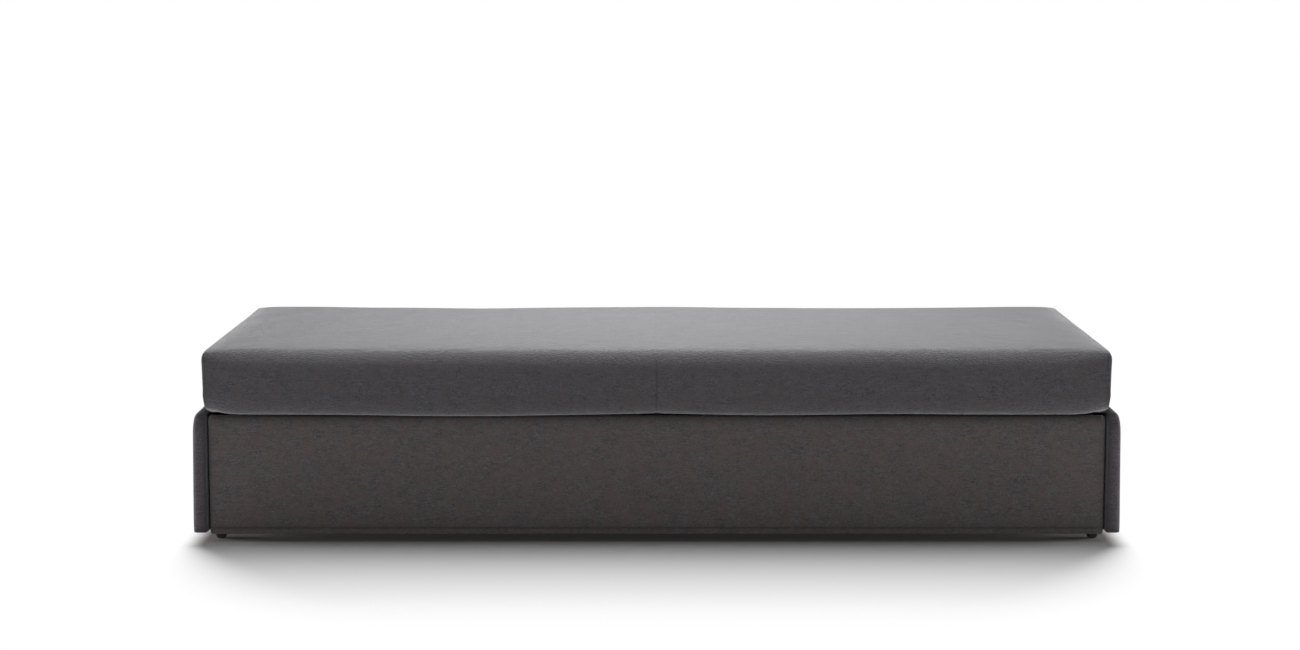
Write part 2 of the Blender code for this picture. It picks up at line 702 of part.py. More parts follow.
def add_slat_mat(trundle, finishes):
    """Slats that lie across the trundle frame, held at their spacing by two woven tapes."""
    front = TRUNDLE_FRONT + SLAT_END_INSET
    rear = TRUNDLE_REAR - SLAT_END_INSET
    mat = bmesh.new()
    slats = spread(MAT_SLAT_COUNT, TRUNDLE_HALF - FIRST_SLAT_INSET - SLAT_WIDTH / 2)
    for x in slats:
        made = bmesh.ops.create_cube(mat, size=1.0)["verts"]
        bmesh.ops.scale(mat, vec=(SLAT_WIDTH, rear - front, MAT_SLAT_THICKNESS), verts=made)
        bmesh.ops.translate(mat, vec=(x, 0.0, 0.0), verts=made)
    place = (0.0, (front + rear) / 2, MAT_TOP - MAT_SLAT_THICKNESS / 2)
    piece = add_piece("trundle_slat_mat", mat, finishes["beech"], place, trundle)
    tape_length = slats[-1] - slats[0] + SLAT_WIDTH / 2
    tape_z = -MAT_SLAT_THICKNESS / 2 + MAT_TAPE_RISE + MAT_TAPE_THICKNESS / 2
    tape_y = (rear - front) / 2 - MAT_TAPE_FROM_END
    for y in (-tape_y, tape_y):
        tape = block((tape_length, MAT_TAPE_WIDTH, MAT_TAPE_THICKNESS))
        add_boolean(piece, "UNION", tape, (0.0, y, tape_z))


def add_trundle(trundle, finishes):
    add_upholstered_panel(
        "front",
        2 * FRONT_HALF,
        FRONT_HEIGHT,
        FRONT_THICKNESS,
        FRONT_CORNER_RADIUS,
        (0.0, (FRONT_FACE + FRONT_REAR) / 2, FRONT_FLOOR_GAP),
        (0.0, 0.0, 0.0),
        trundle,
        finishes,
    )
    add_trundle_frame(trundle, finishes)
    add_slat_mat(trundle, finishes)
    middle = (TRUNDLE_MATTRESS_FRONT + TRUNDLE_REAR) / 2
    place = (0.0, middle, TRUNDLE_MATTRESS_BOTTOM)
    add_mattress("trundle_mattress", TRUNDLE_MATTRESS, place, trundle, finishes, "ticking")
    for side, sign in (("left", -1), ("right", 1)):
        for end, y in (("front", FRONT_AXLE_Y), ("rear", REAR_AXLE_Y)):
            add_castor(f"{end}_{side}", sign, y, trundle, finishes)


def add_empty(name):
    empty = bpy.data.objects.new(name, None)
    bpy.context.scene.collection.objects.link(empty)
    return empty


def main():
    clear_scene()
    finishes = {
        "fabric": finish("grey_felt", (0.085, 0.082, 0.083), 0.95),
        "ticking": finish("pale_ticking", (0.70, 0.68, 0.63), 0.90),
        "foam": finish("cream_foam", (0.78, 0.72, 0.55), 0.95),
        "board": finish("plywood", (0.62, 0.46, 0.30), 0.70),
        "beech": finish("beech", (0.70, 0.52, 0.34), 0.55),
        "frame_steel": finish("powder_coated_steel", (0.10, 0.10, 0.105), 0.45),
        "zinc": finish("zinc_plate", (0.62, 0.62, 0.60), 0.35, 1.0),
        "black_plastic": finish("black_plastic", (0.02, 0.02, 0.02), 0.50),
        "wheel": finish("dark_nylon", (0.045, 0.045, 0.042), 0.50),
    }
    add_main_bed(add_empty("main_bed"), finishes)
    add_trundle(add_empty("trundle"), finishes)


main()
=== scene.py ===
# %% [markdown]
# # Dressing a daybed that hides a second bed
#
# The solids of this daybed are already built: boards, rails, slats, castors and plain shapes for everything
# soft. This lesson dresses them. The soft pieces get their sewn shape, every surface gets its finish, and a
# camera and studio light show the result. Nothing solid is moved, so each step starts from the boxes of the
# solids.

# %% Load the solids
import functools
import math
from dataclasses import dataclass

import bmesh
import bpy
from mathutils import Matrix, Vector, noise


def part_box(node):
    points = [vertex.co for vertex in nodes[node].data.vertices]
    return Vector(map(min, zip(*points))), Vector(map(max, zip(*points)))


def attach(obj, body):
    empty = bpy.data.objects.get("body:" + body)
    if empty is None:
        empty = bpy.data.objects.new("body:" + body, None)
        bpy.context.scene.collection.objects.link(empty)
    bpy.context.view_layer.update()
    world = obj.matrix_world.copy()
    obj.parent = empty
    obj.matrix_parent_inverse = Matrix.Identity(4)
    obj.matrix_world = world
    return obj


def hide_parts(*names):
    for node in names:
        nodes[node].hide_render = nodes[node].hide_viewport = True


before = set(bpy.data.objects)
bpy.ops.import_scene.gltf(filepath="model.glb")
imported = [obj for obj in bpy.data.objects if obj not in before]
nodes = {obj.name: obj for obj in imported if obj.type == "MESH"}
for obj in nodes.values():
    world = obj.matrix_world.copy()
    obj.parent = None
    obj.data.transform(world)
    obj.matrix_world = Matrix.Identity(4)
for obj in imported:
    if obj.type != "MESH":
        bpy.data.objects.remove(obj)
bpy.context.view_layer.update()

HAIR = 0.0001  # metres; points closer than this count as one
scene = bpy.context.scene
link = scene.collection.objects.link

# %% [markdown]
# ## Camera
#
# The picture is taken from the front and a little above, so the top shows as a narrow band. A long lens far
# away keeps the ends from flaring. It is worked out from its focal length in pixels: 1 metre at the front
# is about 455 pixels wide. The daybed stands a few pixels right of the middle, which a tiny lens shift
# gives without turning the camera.

# %% Camera
PICTURE_WIDTH = 1300  # pixels
FOCAL_LENGTH = 2625  # pixels
OFF_CENTRE = 6.7  # pixels to the right
CAMERA_PLACE = (0.0, -6.109, 1.196)
CAMERA_TILT = math.radians(7.08)

camera_data = bpy.data.cameras.new("camera")
camera_data.lens = FOCAL_LENGTH / PICTURE_WIDTH * camera_data.sensor_width
camera_data.shift_x = -OFF_CENTRE / PICTURE_WIDTH
camera = bpy.data.objects.new("camera", camera_data)
camera.location = CAMERA_PLACE
camera.rotation_euler = (math.pi / 2 - CAMERA_TILT, 0.0, 0.0)
link(camera)
scene.camera = camera
print("lens:", round(camera_data.lens, 1), "mm")

# %% [markdown]
# ## Small tools for materials
#
# A material is a tree of nodes. These helpers add a node and fill its sockets in one line: a value is
# written on a socket, and another socket is joined to it.

# %% Material tools
def fill(tree, node, sockets):
    """Fills input sockets of a node with values or with links."""
    for name, value in sockets.items():
        if isinstance(value, bpy.types.NodeSocket):
            tree.links.new(value, node.inputs[name])
        else:
            node.inputs[name].default_value = value


def add_node(tree, kind, sockets=None, **options):
    """Adds a node, sets its options and fills its input sockets."""
    made = tree.nodes.new(kind)
    for name, value in options.items():
        setattr(made, name, value)
    fill(tree, made, sockets or {})
    return made


def add_math(tree, operation, first, second):
    """One sum of two values or sockets."""
    return add_node(tree, "ShaderNodeMath", {0: first, 1: second}, operation=operation).outputs[0]


def add_mix(tree, share, first, second):
    """A colour between two colours."""
    sockets = {0: share, 6: first, 7: second}  # the places of the colour sockets
    return add_node(tree, "ShaderNodeMix", sockets, data_type="RGBA").outputs[2]


def add_noise(tree, place, scale, detail=2.0, roughness=0.5):
    """A cloudy value from 0 to 1."""
    sockets = {"Vector": place, "Scale": scale, "Detail": detail, "Roughness": roughness}
    return add_node(tree, "ShaderNodeTexNoise", sockets).outputs["Fac"]


def add_range(tree, value, start=0.0, end=1.0, low=0.0, high=1.0, curve="LINEAR"):
    """Carries a value from the span start to end over to the span low to high."""
    sockets = {"Value": value, "From Min": start, "From Max": end, "To Min": low, "To Max": high}
    return add_node(tree, "ShaderNodeMapRange", sockets, interpolation_type=curve).outputs[0]


def add_mark(tree, name):
    """A value that the points of a mesh carry."""
    return add_node(tree, "ShaderNodeAttribute", attribute_name=name).outputs["Fac"]


def stretched(tree, place, scale):
    """The same place, stretched or squeezed along each axis."""
    return add_node(tree, "ShaderNodeMapping", {"Vector": place, "Scale": scale}).outputs[0]


def object_place(tree):
    """The place on the piece itself, in metres."""
    return add_node(tree, "ShaderNodeTexCoord").outputs["Object"]


def new_material(name):
    """A material with its Principled shader."""
    material = bpy.data.materials.new(name)
    material.use_nodes = True
    return material, material.node_tree, material.node_tree.nodes["Principled BSDF"]


def new_group(name, inputs, outputs):
    """A node group with named sockets. Returns the group and its input and output nodes."""
    group = bpy.data.node_groups.new(name, "ShaderNodeTree")
    for socket, kind in inputs.items():
        group.interface.new_socket(socket, in_out="INPUT", socket_type=kind)
    for socket, kind in outputs.items():
        group.interface.new_socket(socket, in_out="OUTPUT", socket_type=kind)
    return group, group.nodes.new("NodeGroupInput"), group.nodes.new("NodeGroupOutput")


def place_group(tree, group, **sockets):
    """Puts a node group into a material. Spaces in socket names are written as underscores."""
    named = {name.replace("_", " "): value for name, value in sockets.items()}
    return add_node(tree, "ShaderNodeGroup", named, node_tree=group).outputs


def add_bump(tree, height, distance):
    """A normal that lets a height value roughen a surface."""
    return add_node(tree, "ShaderNodeBump", {"Height": height, "Distance": distance}).outputs[0]


COLOUR, VALUE, VECTOR = "NodeSocketColor", "NodeSocketFloat", "NodeSocketVector"
SURFACE = {"Color": COLOUR, "Height": VALUE, "Roughness": VALUE}
print("material tools ready")

# %% [markdown]
# ## Floor and light
#
# A white studio. A soft lamp hangs over the daybed and reaches far behind it, so the shadow fades out slowly
# towards the camera. A beam from high behind brightens the middle of the top. A weak lamp in front, a low
# flat at each side and the pale floor light the front and the ends. Far out the floor would get less light
# and turn grey, so there it shows plain white to the camera, while near the daybed it is ordinary paint that
# keeps the shadow, with a little white painted over it for the camera. The change from paint to white is
# narrow beside the ends of the daybed, and softer further out.

# %% Floor and light
FLOOR_SIZE = 30.0
FLOOR_COLOUR = (0.66, 0.66, 0.664, 1.0)
SHADOW_ENDS = 1.055  # metres from the middle; beside this the floor is plain white
SHADOW_START = 0.43  # the shadow fades out from this far in front of the middle and behind it
SHADOW_FADE = 0.80  # and it is gone this much further out
END_FADE = 0.06  # how wide the fading is at the ends, close to the daybed
END_SOFTER = 0.7  # how much wider it gets for each metre further out
SHADOW_GLOW = 0.013  # for the camera, a little white is painted over even the deepest shadow
FLOOR_BOUNCE = 0.9  # the white part of the floor lights the daybed this brightly
LAMPS = (  # name, place, size, power, and in degrees the tilt, turn and spread
    ("soft_lamp", (0.0, 2.2, 3.0), (1.2, 5.5), 172.0, 0, 0, 180),
    ("back_beam", (0.0, 3.35, 2.73), (1.7, 1.2), 5.8, -55, 0, 28),
    ("front_lamp", (0.0, -3.6, 3.2), (3.0, 1.6), 17.0, 47, 0, 180),
    ("left_flat", (-3.0, -0.05, 0.26), (0.8, 0.44), 22.0, 90, -90, 180),
    ("right_flat", (3.0, -0.05, 0.26), (0.8, 0.44), 22.0, 90, 90, 180),
)
FILL_LEVEL = 0.12  # light from all round

floor_mesh = bmesh.new()
bmesh.ops.create_grid(floor_mesh, x_segments=1, y_segments=1, size=FLOOR_SIZE / 2)
floor = bpy.data.objects.new("floor", bpy.data.meshes.new("floor"))
floor_mesh.to_mesh(floor.data)
floor_mesh.free()
link(floor)


def seen_directly(tree):
    """1 where a ray shows the background to the camera or in a reflection, 0 for light that bounces."""
    path = add_node(tree, "ShaderNodeLightPath").outputs
    shown = add_math(tree, "MAXIMUM", path["Is Camera Ray"], path["Is Glossy Ray"])
    return add_math(tree, "MAXIMUM", shown, path["Is Transmission Ray"])


def past(tree, place, limit):
    """How far a place is past a limit, on either side of the middle."""
    far = add_math(tree, "ABSOLUTE", place, 0.0)
    return add_math(tree, "MAXIMUM", add_math(tree, "SUBTRACT", far, limit), 0.0)


def studio_floor():
    """Paint near the daybed that turns into plain white further out."""
    material, tree, paint = new_material("studio_floor")
    fill(tree, paint, {"Base Color": FLOOR_COLOUR, "Roughness": 0.9, "Specular IOR Level": 0.0})
    shown = seen_directly(tree)
    strength = add_range(tree, shown, low=FLOOR_BOUNCE)
    white = add_node(tree, "ShaderNodeEmission", {"Color": (1.0, 1.0, 1.0, 1.0), "Strength": strength})
    places = add_node(tree, "ShaderNodeSeparateXYZ", {0: object_place(tree)}).outputs
    out = past(tree, places["Y"], SHADOW_START)
    soft = add_math(tree, "ADD", add_math(tree, "MULTIPLY", out, END_SOFTER), END_FADE)
    aside = past(tree, places["X"], add_math(tree, "SUBTRACT", SHADOW_ENDS, soft))
    steps = (add_math(tree, "DIVIDE", aside, soft), add_math(tree, "DIVIDE", out, SHADOW_FADE))
    squares = [add_math(tree, "POWER", step, 2.0) for step in steps]
    distance = add_math(tree, "SQRT", add_math(tree, "ADD", *squares), 0.0)
    far = add_range(tree, distance, curve="SMOOTHSTEP")
    # a little white is painted into the shadow for the camera
    share = add_math(tree, "MAXIMUM", far, add_math(tree, "MULTIPLY", shown, SHADOW_GLOW))
    both = add_node(tree, "ShaderNodeMixShader", {"Fac": share, 1: paint.outputs[0], 2: white.outputs[0]})
    fill(tree, tree.nodes["Material Output"], {"Surface": both.outputs[0]})
    return material


floor.data.materials.append(studio_floor())

world = bpy.data.worlds.new("studio")
world.use_nodes = True
sky = world.node_tree.nodes["Background"]
level = add_range(world.node_tree, seen_directly(world.node_tree), low=FILL_LEVEL)
fill(world.node_tree, sky, {"Color": (1.0, 1.0, 1.0, 1.0), "Strength": level})
scene.world = world
scene.view_settings.view_transform = "Standard"


def add_lamp(name, place, size, power, tilt, turn, spread):
    """A soft rectangle of light. With no tilt it faces straight down, and a small spread makes it a beam."""
    data = bpy.data.lights.new(name, "AREA")
    data.shape = "RECTANGLE"
    data.size, data.size_y = size
    data.energy = power
    data.spread = math.radians(spread)
    lamp = bpy.data.objects.new(name, data)
    lamp.location = place
    lamp.rotation_euler = (math.radians(tilt), 0.0, math.radians(turn))
    lamp.visible_camera = False
    link(lamp)


for lamp in LAMPS:
    add_lamp(*lamp)
print("lamps:", [lamp[0] for lamp in LAMPS])

# %% [markdown]
# ## The grey felt
#
# The cover is a thick, brushed cloth of mixed dark yarns. Close up it has three layers: loose fibres of a
# millimetre or two, slubs where a yarn is thicker, and soft clouds where warm and cool yarns mix. Each layer
# is a noise of its own size. The slubs are noise squeezed across the yarn, once for each direction of the
# weave. Three more noises only raise the surface: a fine nap, broad patches where the pile of the top lies
# unevenly, and tufts where the cloth bends over an edge and its pile opens. Marks on the points of a mesh say
# where patches and tufts are, and where a seam darkens the cloth or shade is painted on it. The layers make a
# node group, so that every cloth here can use it with its own colours. The shine that brushed cloth has at a
# low angle is sheen, and it stays on the shader because it is the same all over. The end panels get their own
# copy of the felt with far less sheen, a darker copy that stands in for their shade.

# %% Cloth group and felt materials
NAP_SCALE = 900.0  # per metre, like the other scales
FIBRE_SCALES = (230.0, 60.0, 430.0)  # along length, depth and height; the pile is brushed in depth
CLOUD_SCALE = 55.0
CLOUD_SHARE = 0.35
TINT_SCALE = 36.0
TINT_SPAN = (0.38, 0.62)
YARN_ALONG = 55.0
YARN_ACROSS = 420.0
SLUB_SHARE = 0.5
SHADE_SPAN = (0.93, 1.42)  # from the dark to the light yarn
PATCH_SCALES = (11.0, 8.0, 11.0)
PATCH_HEIGHT = 11.0  # how much higher patches stand than single fibres
TUFT_SCALE = 330.0
TUFT_HEIGHT = 5.0
CLUMP_HEIGHT = 2.0  # of the soft clouds
FELT_WARMTH = 0.5
FELT_BUMP = 0.0010
FELT_SHINE = {"Specular IOR Level": 0.2, "Sheen Roughness": 0.48, "Sheen Tint": (0.95, 0.95, 0.97, 1.0)}
# the colour of seams, and of the shade painted on the cloth
SEAM_AND_SHADE_COLOUR = (0.020, 0.019, 0.021, 1.0)


def brushed_cloth_group():
    """The layers of a brushed cloth, as colour, height and roughness."""
    yarns = {"Dark": COLOUR, "Light": COLOUR, "Warm": COLOUR}
    shares = {"Warmth": VALUE, "Crushed": VALUE, "Opened": VALUE}
    group, given, result = new_group("brushed_cloth", yarns | shares, SURFACE)
    place = object_place(group)

    def raised(cloudy, mark, height):
        """A cloudy value around zero, as high as a mark says."""
        around = add_math(group, "SUBTRACT", cloudy, 0.5)
        return add_math(group, "MULTIPLY", around, add_math(group, "MULTIPLY", given.outputs[mark], height))

    fibres = add_noise(group, stretched(group, place, FIBRE_SCALES), 1.0, 2.0, 0.6)
    clouds = add_noise(group, place, CLOUD_SCALE, 4.0, 0.6)
    tint = add_noise(group, place, TINT_SCALE, 4.0, 0.6)
    weft = add_noise(group, stretched(group, place, (YARN_ALONG, YARN_ACROSS, YARN_ACROSS)), 1.0, 2.0)
    warp = add_noise(group, stretched(group, place, (YARN_ACROSS, YARN_ALONG, YARN_ACROSS)), 1.0, 2.0)
    slubs = add_math(group, "ADD", weft, warp)
    fuzz = add_math(group, "ADD", fibres, add_math(group, "MULTIPLY", slubs, SLUB_SHARE))
    mixed = add_math(group, "ADD", fuzz, add_math(group, "MULTIPLY", clouds, CLOUD_SHARE))
    shade = add_range(group, mixed, *SHADE_SPAN)
    plain = add_mix(group, shade, given.outputs["Dark"], given.outputs["Light"])
    warmth = add_math(group, "MULTIPLY", add_range(group, tint, *TINT_SPAN), given.outputs["Warmth"])
    colour = add_mix(group, warmth, plain, given.outputs["Warm"])
    nap = add_noise(group, place, NAP_SCALE, 2.0, 0.6)
    clumps = add_math(group, "MULTIPLY", clouds, CLUMP_HEIGHT)
    uneven = add_noise(group, stretched(group, place, PATCH_SCALES), 1.0, 2.0, 0.42)
    patches = raised(uneven, "Crushed", PATCH_HEIGHT)
    tufts = raised(add_noise(group, place, TUFT_SCALE, 2.0, 0.6), "Opened", TUFT_HEIGHT)
    layers = (fuzz, nap, clumps, patches, tufts)
    height = functools.reduce(functools.partial(add_math, group, "ADD"), layers)
    rough = add_range(group, fuzz, low=0.72, high=0.92)
    fill(group, result, {"Color": colour, "Height": height, "Roughness": rough})
    return group


BRUSHED_CLOTH = brushed_cloth_group()


def cloth_material(name, yarns, warmth, sewn, bump, shine):
    """A cloth of three yarn colours, with another colour where it is sewn and where shade is painted. Its
    shine is set on the shader.
    """
    material, tree, shader = new_material(name)
    colours = dict(zip(("Dark", "Light", "Warm"), yarns))
    marks = {"Crushed": add_mark(tree, "crushed"), "Opened": add_mark(tree, "opened")}
    cloth = place_group(tree, BRUSHED_CLOTH, **colours, **marks, Warmth=warmth)
    # the seam mark holds dark seams and painted shade
    shade = add_mix(tree, add_mark(tree, "seam"), cloth["Color"], sewn)
    normal = add_bump(tree, cloth["Height"], bump)
    fill(tree, shader, {"Base Color": shade, "Roughness": cloth["Roughness"], "Normal": normal} | shine)
    return material


def felt(name, yarns, sheen):
    """Grey felt in its own yarns, with its own share of sheen."""
    shine = FELT_SHINE | {"Sheen Weight": sheen}
    return cloth_material(name, yarns, FELT_WARMTH, SEAM_AND_SHADE_COLOUR, FELT_BUMP, shine)


MATTRESS_YARNS = ((0.046, 0.044, 0.049, 1), (0.126, 0.122, 0.134, 1), (0.104, 0.084, 0.085, 1))
SIDE_YARNS = ((0.055, 0.051, 0.058, 1), (0.148, 0.138, 0.157, 1), (0.123, 0.095, 0.101, 1))
PANEL_YARNS = ((0.070, 0.066, 0.069, 1), (0.166, 0.156, 0.162, 1), (0.160, 0.116, 0.101, 1))
MATTRESS_FELT = felt("mattress_felt", MATTRESS_YARNS, sheen=1.0)
# a copy of the mattress felt with far less sheen, so the end panels stay dark as if in shade
END_FELT = felt("end_felt", MATTRESS_YARNS, sheen=0.12)
SIDE_FELT = felt("side_felt", SIDE_YARNS, sheen=0.35)
PANEL_FELT = felt("panel_felt", PANEL_YARNS, sheen=0.4)
print("felt:", MATTRESS_FELT.name, END_FELT.name, SIDE_FELT.name, PANEL_FELT.name)

# %% [markdown]
# ## Small tools for meshes
#
# Every soft piece starts as a block. It is sliced into a fine net, because a net can bend, and its points
# are moved. Slicing with planes keeps the lines of the net straight and lets a seam have lines of its own.

# %% Mesh tools
ALONG, INTO, UP = Matrix.Identity(3)  # the three axes


def add_block(low, high):
    """A new mesh that holds one block."""
    bm = bmesh.new()
    bmesh.ops.create_cube(bm, size=1.0)
    bmesh.ops.scale(bm, vec=high - low, verts=bm.verts)
    bmesh.ops.translate(bm, vec=(low + high) / 2, verts=bm.verts)
    return bm


def round_edges(bm, edges, radius, segments):
    options = {"profile": 0.5, "affect": "EDGES", "material": -1, "clamp_overlap": True}
    bmesh.ops.bevel(bm, geom=edges, offset=radius, segments=segments, **options)


def slice_net(bm, axis, places):
    """Cuts edge loops square to an axis."""
    for place in places:
        everything = bm.verts[:] + bm.edges[:] + bm.faces[:]
        bmesh.ops.bisect_plane(bm, geom=everything, dist=HAIR, plane_co=axis * place, plane_no=axis)


def move_points(bm, places):
    """Moves all points of a net at once."""
    for vert, place in zip(bm.verts, places):
        vert.co = place


def steps_between(start, end, pitch):
    """Even steps inside a span, about a pitch apart."""
    count = max(1, round((end - start) / pitch))
    return [start + (end - start) * i / count for i in range(1, count)]


def smooth_step(value, start, end):
    """0 before start, 1 after end, and an easy curve between."""
    share = min(max((value - start) / (end - start), 0.0), 1.0)
    return share * share * (3 - 2 * share)


def bell(value, centre, width):
    """1 at the centre, fading to 0 on both sides."""
    return math.exp(-(((value - centre) / width) ** 2))


def add_piece(name, bm, material, body):
    """Makes an object from a mesh in its final place, and lets it ride on a body."""
    mesh = bpy.data.meshes.new(name)
    bm.to_mesh(mesh)
    bm.free()
    mesh.shade_smooth()
    mesh.materials.append(material)
    piece = bpy.data.objects.new(name, mesh)
    link(piece)
    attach(piece, body)
    return piece


def add_smoothing(piece):
    modifier = piece.modifiers.new("smooth", "SUBSURF")
    modifier.levels = 1
    modifier.render_levels = 1


print("mesh tools ready")

# %% [markdown]
# ## Stuffing a sewn cover
#
# Foam pushes a cover outwards everywhere except where it is sewn. A cloth simulation does the same: the
# sewn points are pinned, a little pressure blows the panels out for twenty frames, and gravity is left off
# because foam carries the weight. Foam is firm, so the travel of a point is eased towards a limit before it
# is put back on the mesh.

# %% Stuffing
STUFF_FRAMES = 20
STUFF_PRESSURE = 4.0


def stuff(bm, sewn, limit):
    """Blows a closed net out between its sewn points, and moves each point by no more than the limit."""
    mesh = bpy.data.meshes.new("stuffing")
    bm.to_mesh(mesh)
    cover = bpy.data.objects.new("stuffing", mesh)
    link(cover)
    pins = cover.vertex_groups.new(name="sewn")
    pins.add([i for i, held in enumerate(sewn) if held], 1.0, "REPLACE")
    cloth = cover.modifiers.new("cloth", "CLOTH")
    cloth.settings.vertex_group_mass = "sewn"
    cloth.settings.use_pressure = True
    cloth.settings.uniform_pressure_force = STUFF_PRESSURE
    cloth.settings.effector_weights.gravity = 0.0
    cloth.settings.quality = 4
    cloth.point_cache.frame_end = STUFF_FRAMES
    for number in range(1, STUFF_FRAMES + 1):
        scene.frame_set(number)
    blown = cover.evaluated_get(bpy.context.evaluated_depsgraph_get()).data
    moves = [blown.vertices[i].co - vert.co for i, vert in enumerate(bm.verts)]
    for vert, move in zip(bm.verts, moves):
        vert.co += move * (limit / (move.length + limit))
    print("stuffed: widest move", round(1000 * max(m.length for m in moves), 1), "mm before the limit")
    bpy.data.objects.remove(cover)
    scene.frame_set(1)


print("stuffing ready:", STUFF_FRAMES, "frames")

# %% [markdown]
# ## The mattress
#
# A long panel of felt runs over the front, top and back, joined in the middle by one seam, and an end panel
# is sewn on at each end. Its long edges are soft: 41 mm round above and 44 mm below. The end panels stand
# out between their seams, most in their upper part. The net is sliced finely and then stuffed. Seams come
# after the stuffing, because a seam is far narrower than the net.

# %% Mattress body
TOP_RADIUS = 0.041
BASE_RADIUS = 0.044
RADII = (TOP_RADIUS, BASE_RADIUS)
END_SWELL = 0.0085
SWELL_FLOOR = 0.02  # phase of the swell's half wave at the bottom of an end panel
SWELL_PEAK = 0.765
SWELL_RISE = 0.75  # the swell grows over this share of the lower radius
TUCK_RUN = 2.5  # the ends are drawn in over this many radii along the mattress
CROWN = 0.009
NET_PITCH = 0.026
ROUND_STEPS = 6
END_RINGS = (0.004, 0.006, 0.012)


def rounded_mattress(low, high, radii, pitch, rings):
    """A sliced block with round long edges. The rings give the end panels lines that follow their outline."""
    bm = add_block(low, high)
    for level, radius in zip((high.z, low.z), radii):
        edges = [e for e in bm.edges if all(abs(v.co.z - level) < HAIR for v in e.verts)]
        long_edges = [e for e in edges if abs(e.verts[0].co.x - e.verts[1].co.x) > HAIR]
        round_edges(bm, long_edges, radius, ROUND_STEPS)
    ends = [f for f in bm.faces if abs(f.normal.x) > 0.5]
    for ring in rings:
        bmesh.ops.inset_individual(bm, faces=ends, thickness=ring, use_even_offset=True)
    slice_net(bm, ALONG, steps_between(low.x, high.x, pitch))
    middle = (high.y + low.y) / 2
    flat_y = high.y - middle - max(radii)
    slice_net(bm, INTO, steps_between(middle - flat_y, middle + flat_y, pitch))
    slice_net(bm, UP, steps_between(low.z + radii[1], high.z - radii[0], pitch))
    bm.normal_update()
    return bm


def end_distance(y, z, low, high, radii):
    """How far a point of an end panel is from the seam round it."""
    radius = radii[0] if z > (low.z + high.z) / 2 else radii[1]
    from_side = (high.y - low.y) / 2 - abs(y - (high.y + low.y) / 2)
    from_edge = min(z - low.z, high.z - z)
    if from_side < radius and from_edge < radius:
        return radius - math.hypot(radius - from_side, radius - from_edge)
    return min(from_side, from_edge)


def end_swell(y, z, low, high, radii, swell):
    """How far an end panel stands out of its seam at one of its points."""
    level = (z - low.z) / (high.z - low.z)
    inside = end_distance(y, z, low, high, radii)
    rise = 1 - (1 - min(max(inside / (SWELL_RISE * radii[1]), 0.0), 1.0)) ** 2
    fullness = math.sin(math.pi * (SWELL_FLOOR + (0.5 - SWELL_FLOOR) * level / SWELL_PEAK))
    return swell * fullness * rise


def end_tuck(x, z, seam, floor, radius):
    """How far the end of a mattress is drawn in near its underside."""
    under = min(max(radius - (z - floor), 0.0), radius)
    near_end = smooth_step(abs(x), seam - TUCK_RUN * radius, seam)
    return (radius - math.sqrt(radius**2 - under**2)) * near_end


cover_low, cover_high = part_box("mattress_cover")
seam_x = cover_high.x - END_SWELL
body_low = Vector((-seam_x, cover_low.y, cover_low.z))
body_high = Vector((seam_x, cover_high.y, cover_high.z - CROWN))
mattress_net = rounded_mattress(body_low, body_high, RADII, NET_PITCH, END_RINGS)
print("mattress net:", len(mattress_net.verts), "points")

# %% [markdown]
# The end panels get their swell later, so their points are pinned here. The underside rests on the slats, so
# it is held too.

# %% Stuff the mattress
STUFF_LIMIT = 0.006

held = [
    abs(v.co.x) > seam_x - HAIR or v.co.z < body_low.z + BASE_RADIUS / 3
    for v in mattress_net.verts
]
stuff(mattress_net, held, STUFF_LIMIT)

# %% [markdown]
# Now the seams get lines of their own, and the points move to where a used cover has them. The middle seam is
# drawn in by the thread. The lower front edge isn't straight: foam pushes it down in places, the middle seam
# lifts it, and the corners lift most. The back edge of the top waves a little as well. Three marks go on the
# points: how dark a seam or painted shade makes the cloth, where the pile lies unevenly, and where it opens
# over an edge. Shade is painted along the seams of the end panels, and where the top rolls towards its end
# seams.

# %% Mattress seams and waves
SEAM_LINES = (0.0, 0.0015, 0.004, 0.009)
SEAM_DEPTH = 0.0014
SEAM_HALF = 0.0022
SEAM_START = 0.02  # the seam starts at this share of the height
TOP_SEAM_SHARE = 0.25  # the seam is flatter on the top
UPRIGHT_SPAN = (0.3, 0.9)  # normals that look this far up pass from the front to the top
MIDDLE_MARK = 0.45
END_LINES = (0.004, 0.011)
LIFT_BELLS = (  # place, height and width
    (0.0, 0.0024, 0.10),
    (0.0, 0.0018, 0.006),
    (-0.43, -0.0042, 0.19),
    (0.25, -0.0015, 0.12),
    (0.52, 0.0013, 0.12),
)
EDGE_LIFT = 0.0030  # the lower front edge stands this far above the slats
SAG_SHARE = 0.2  # a sagging edge comes forward, and goes down by only this share
UNDER_SHARE = 0.45  # the lower front rounding is only this share as deep as it is high
FRONT_BULGE = 0.007  # foam pushes the lower part of the front out
BULGE_LEVEL = 0.035
BULGE_HALF = 0.045
FRONT_SPAN = (0.020, 0.045)  # the front ends between these depths
BASE_SPAN = (0.02, 0.12)  # the lower edge ends between these heights
FRONT_ROLL = 0.006  # the top slopes down by this much towards its front edge
ROLL_DEPTH = 0.15
SQUARE_SHARE = 0.6  # the upper front corner keeps this share of its radius at the end seams
SQUARE_RUN = 0.055
CORNER_LIFT = 0.011
CORNER_RUN = 0.034
END_TUCK = 0.007
END_SAG = 0.004  # past the last slat the foam hangs down to the side panel
END_SAG_RUN = 0.012
END_SAG_HEIGHT = 0.03
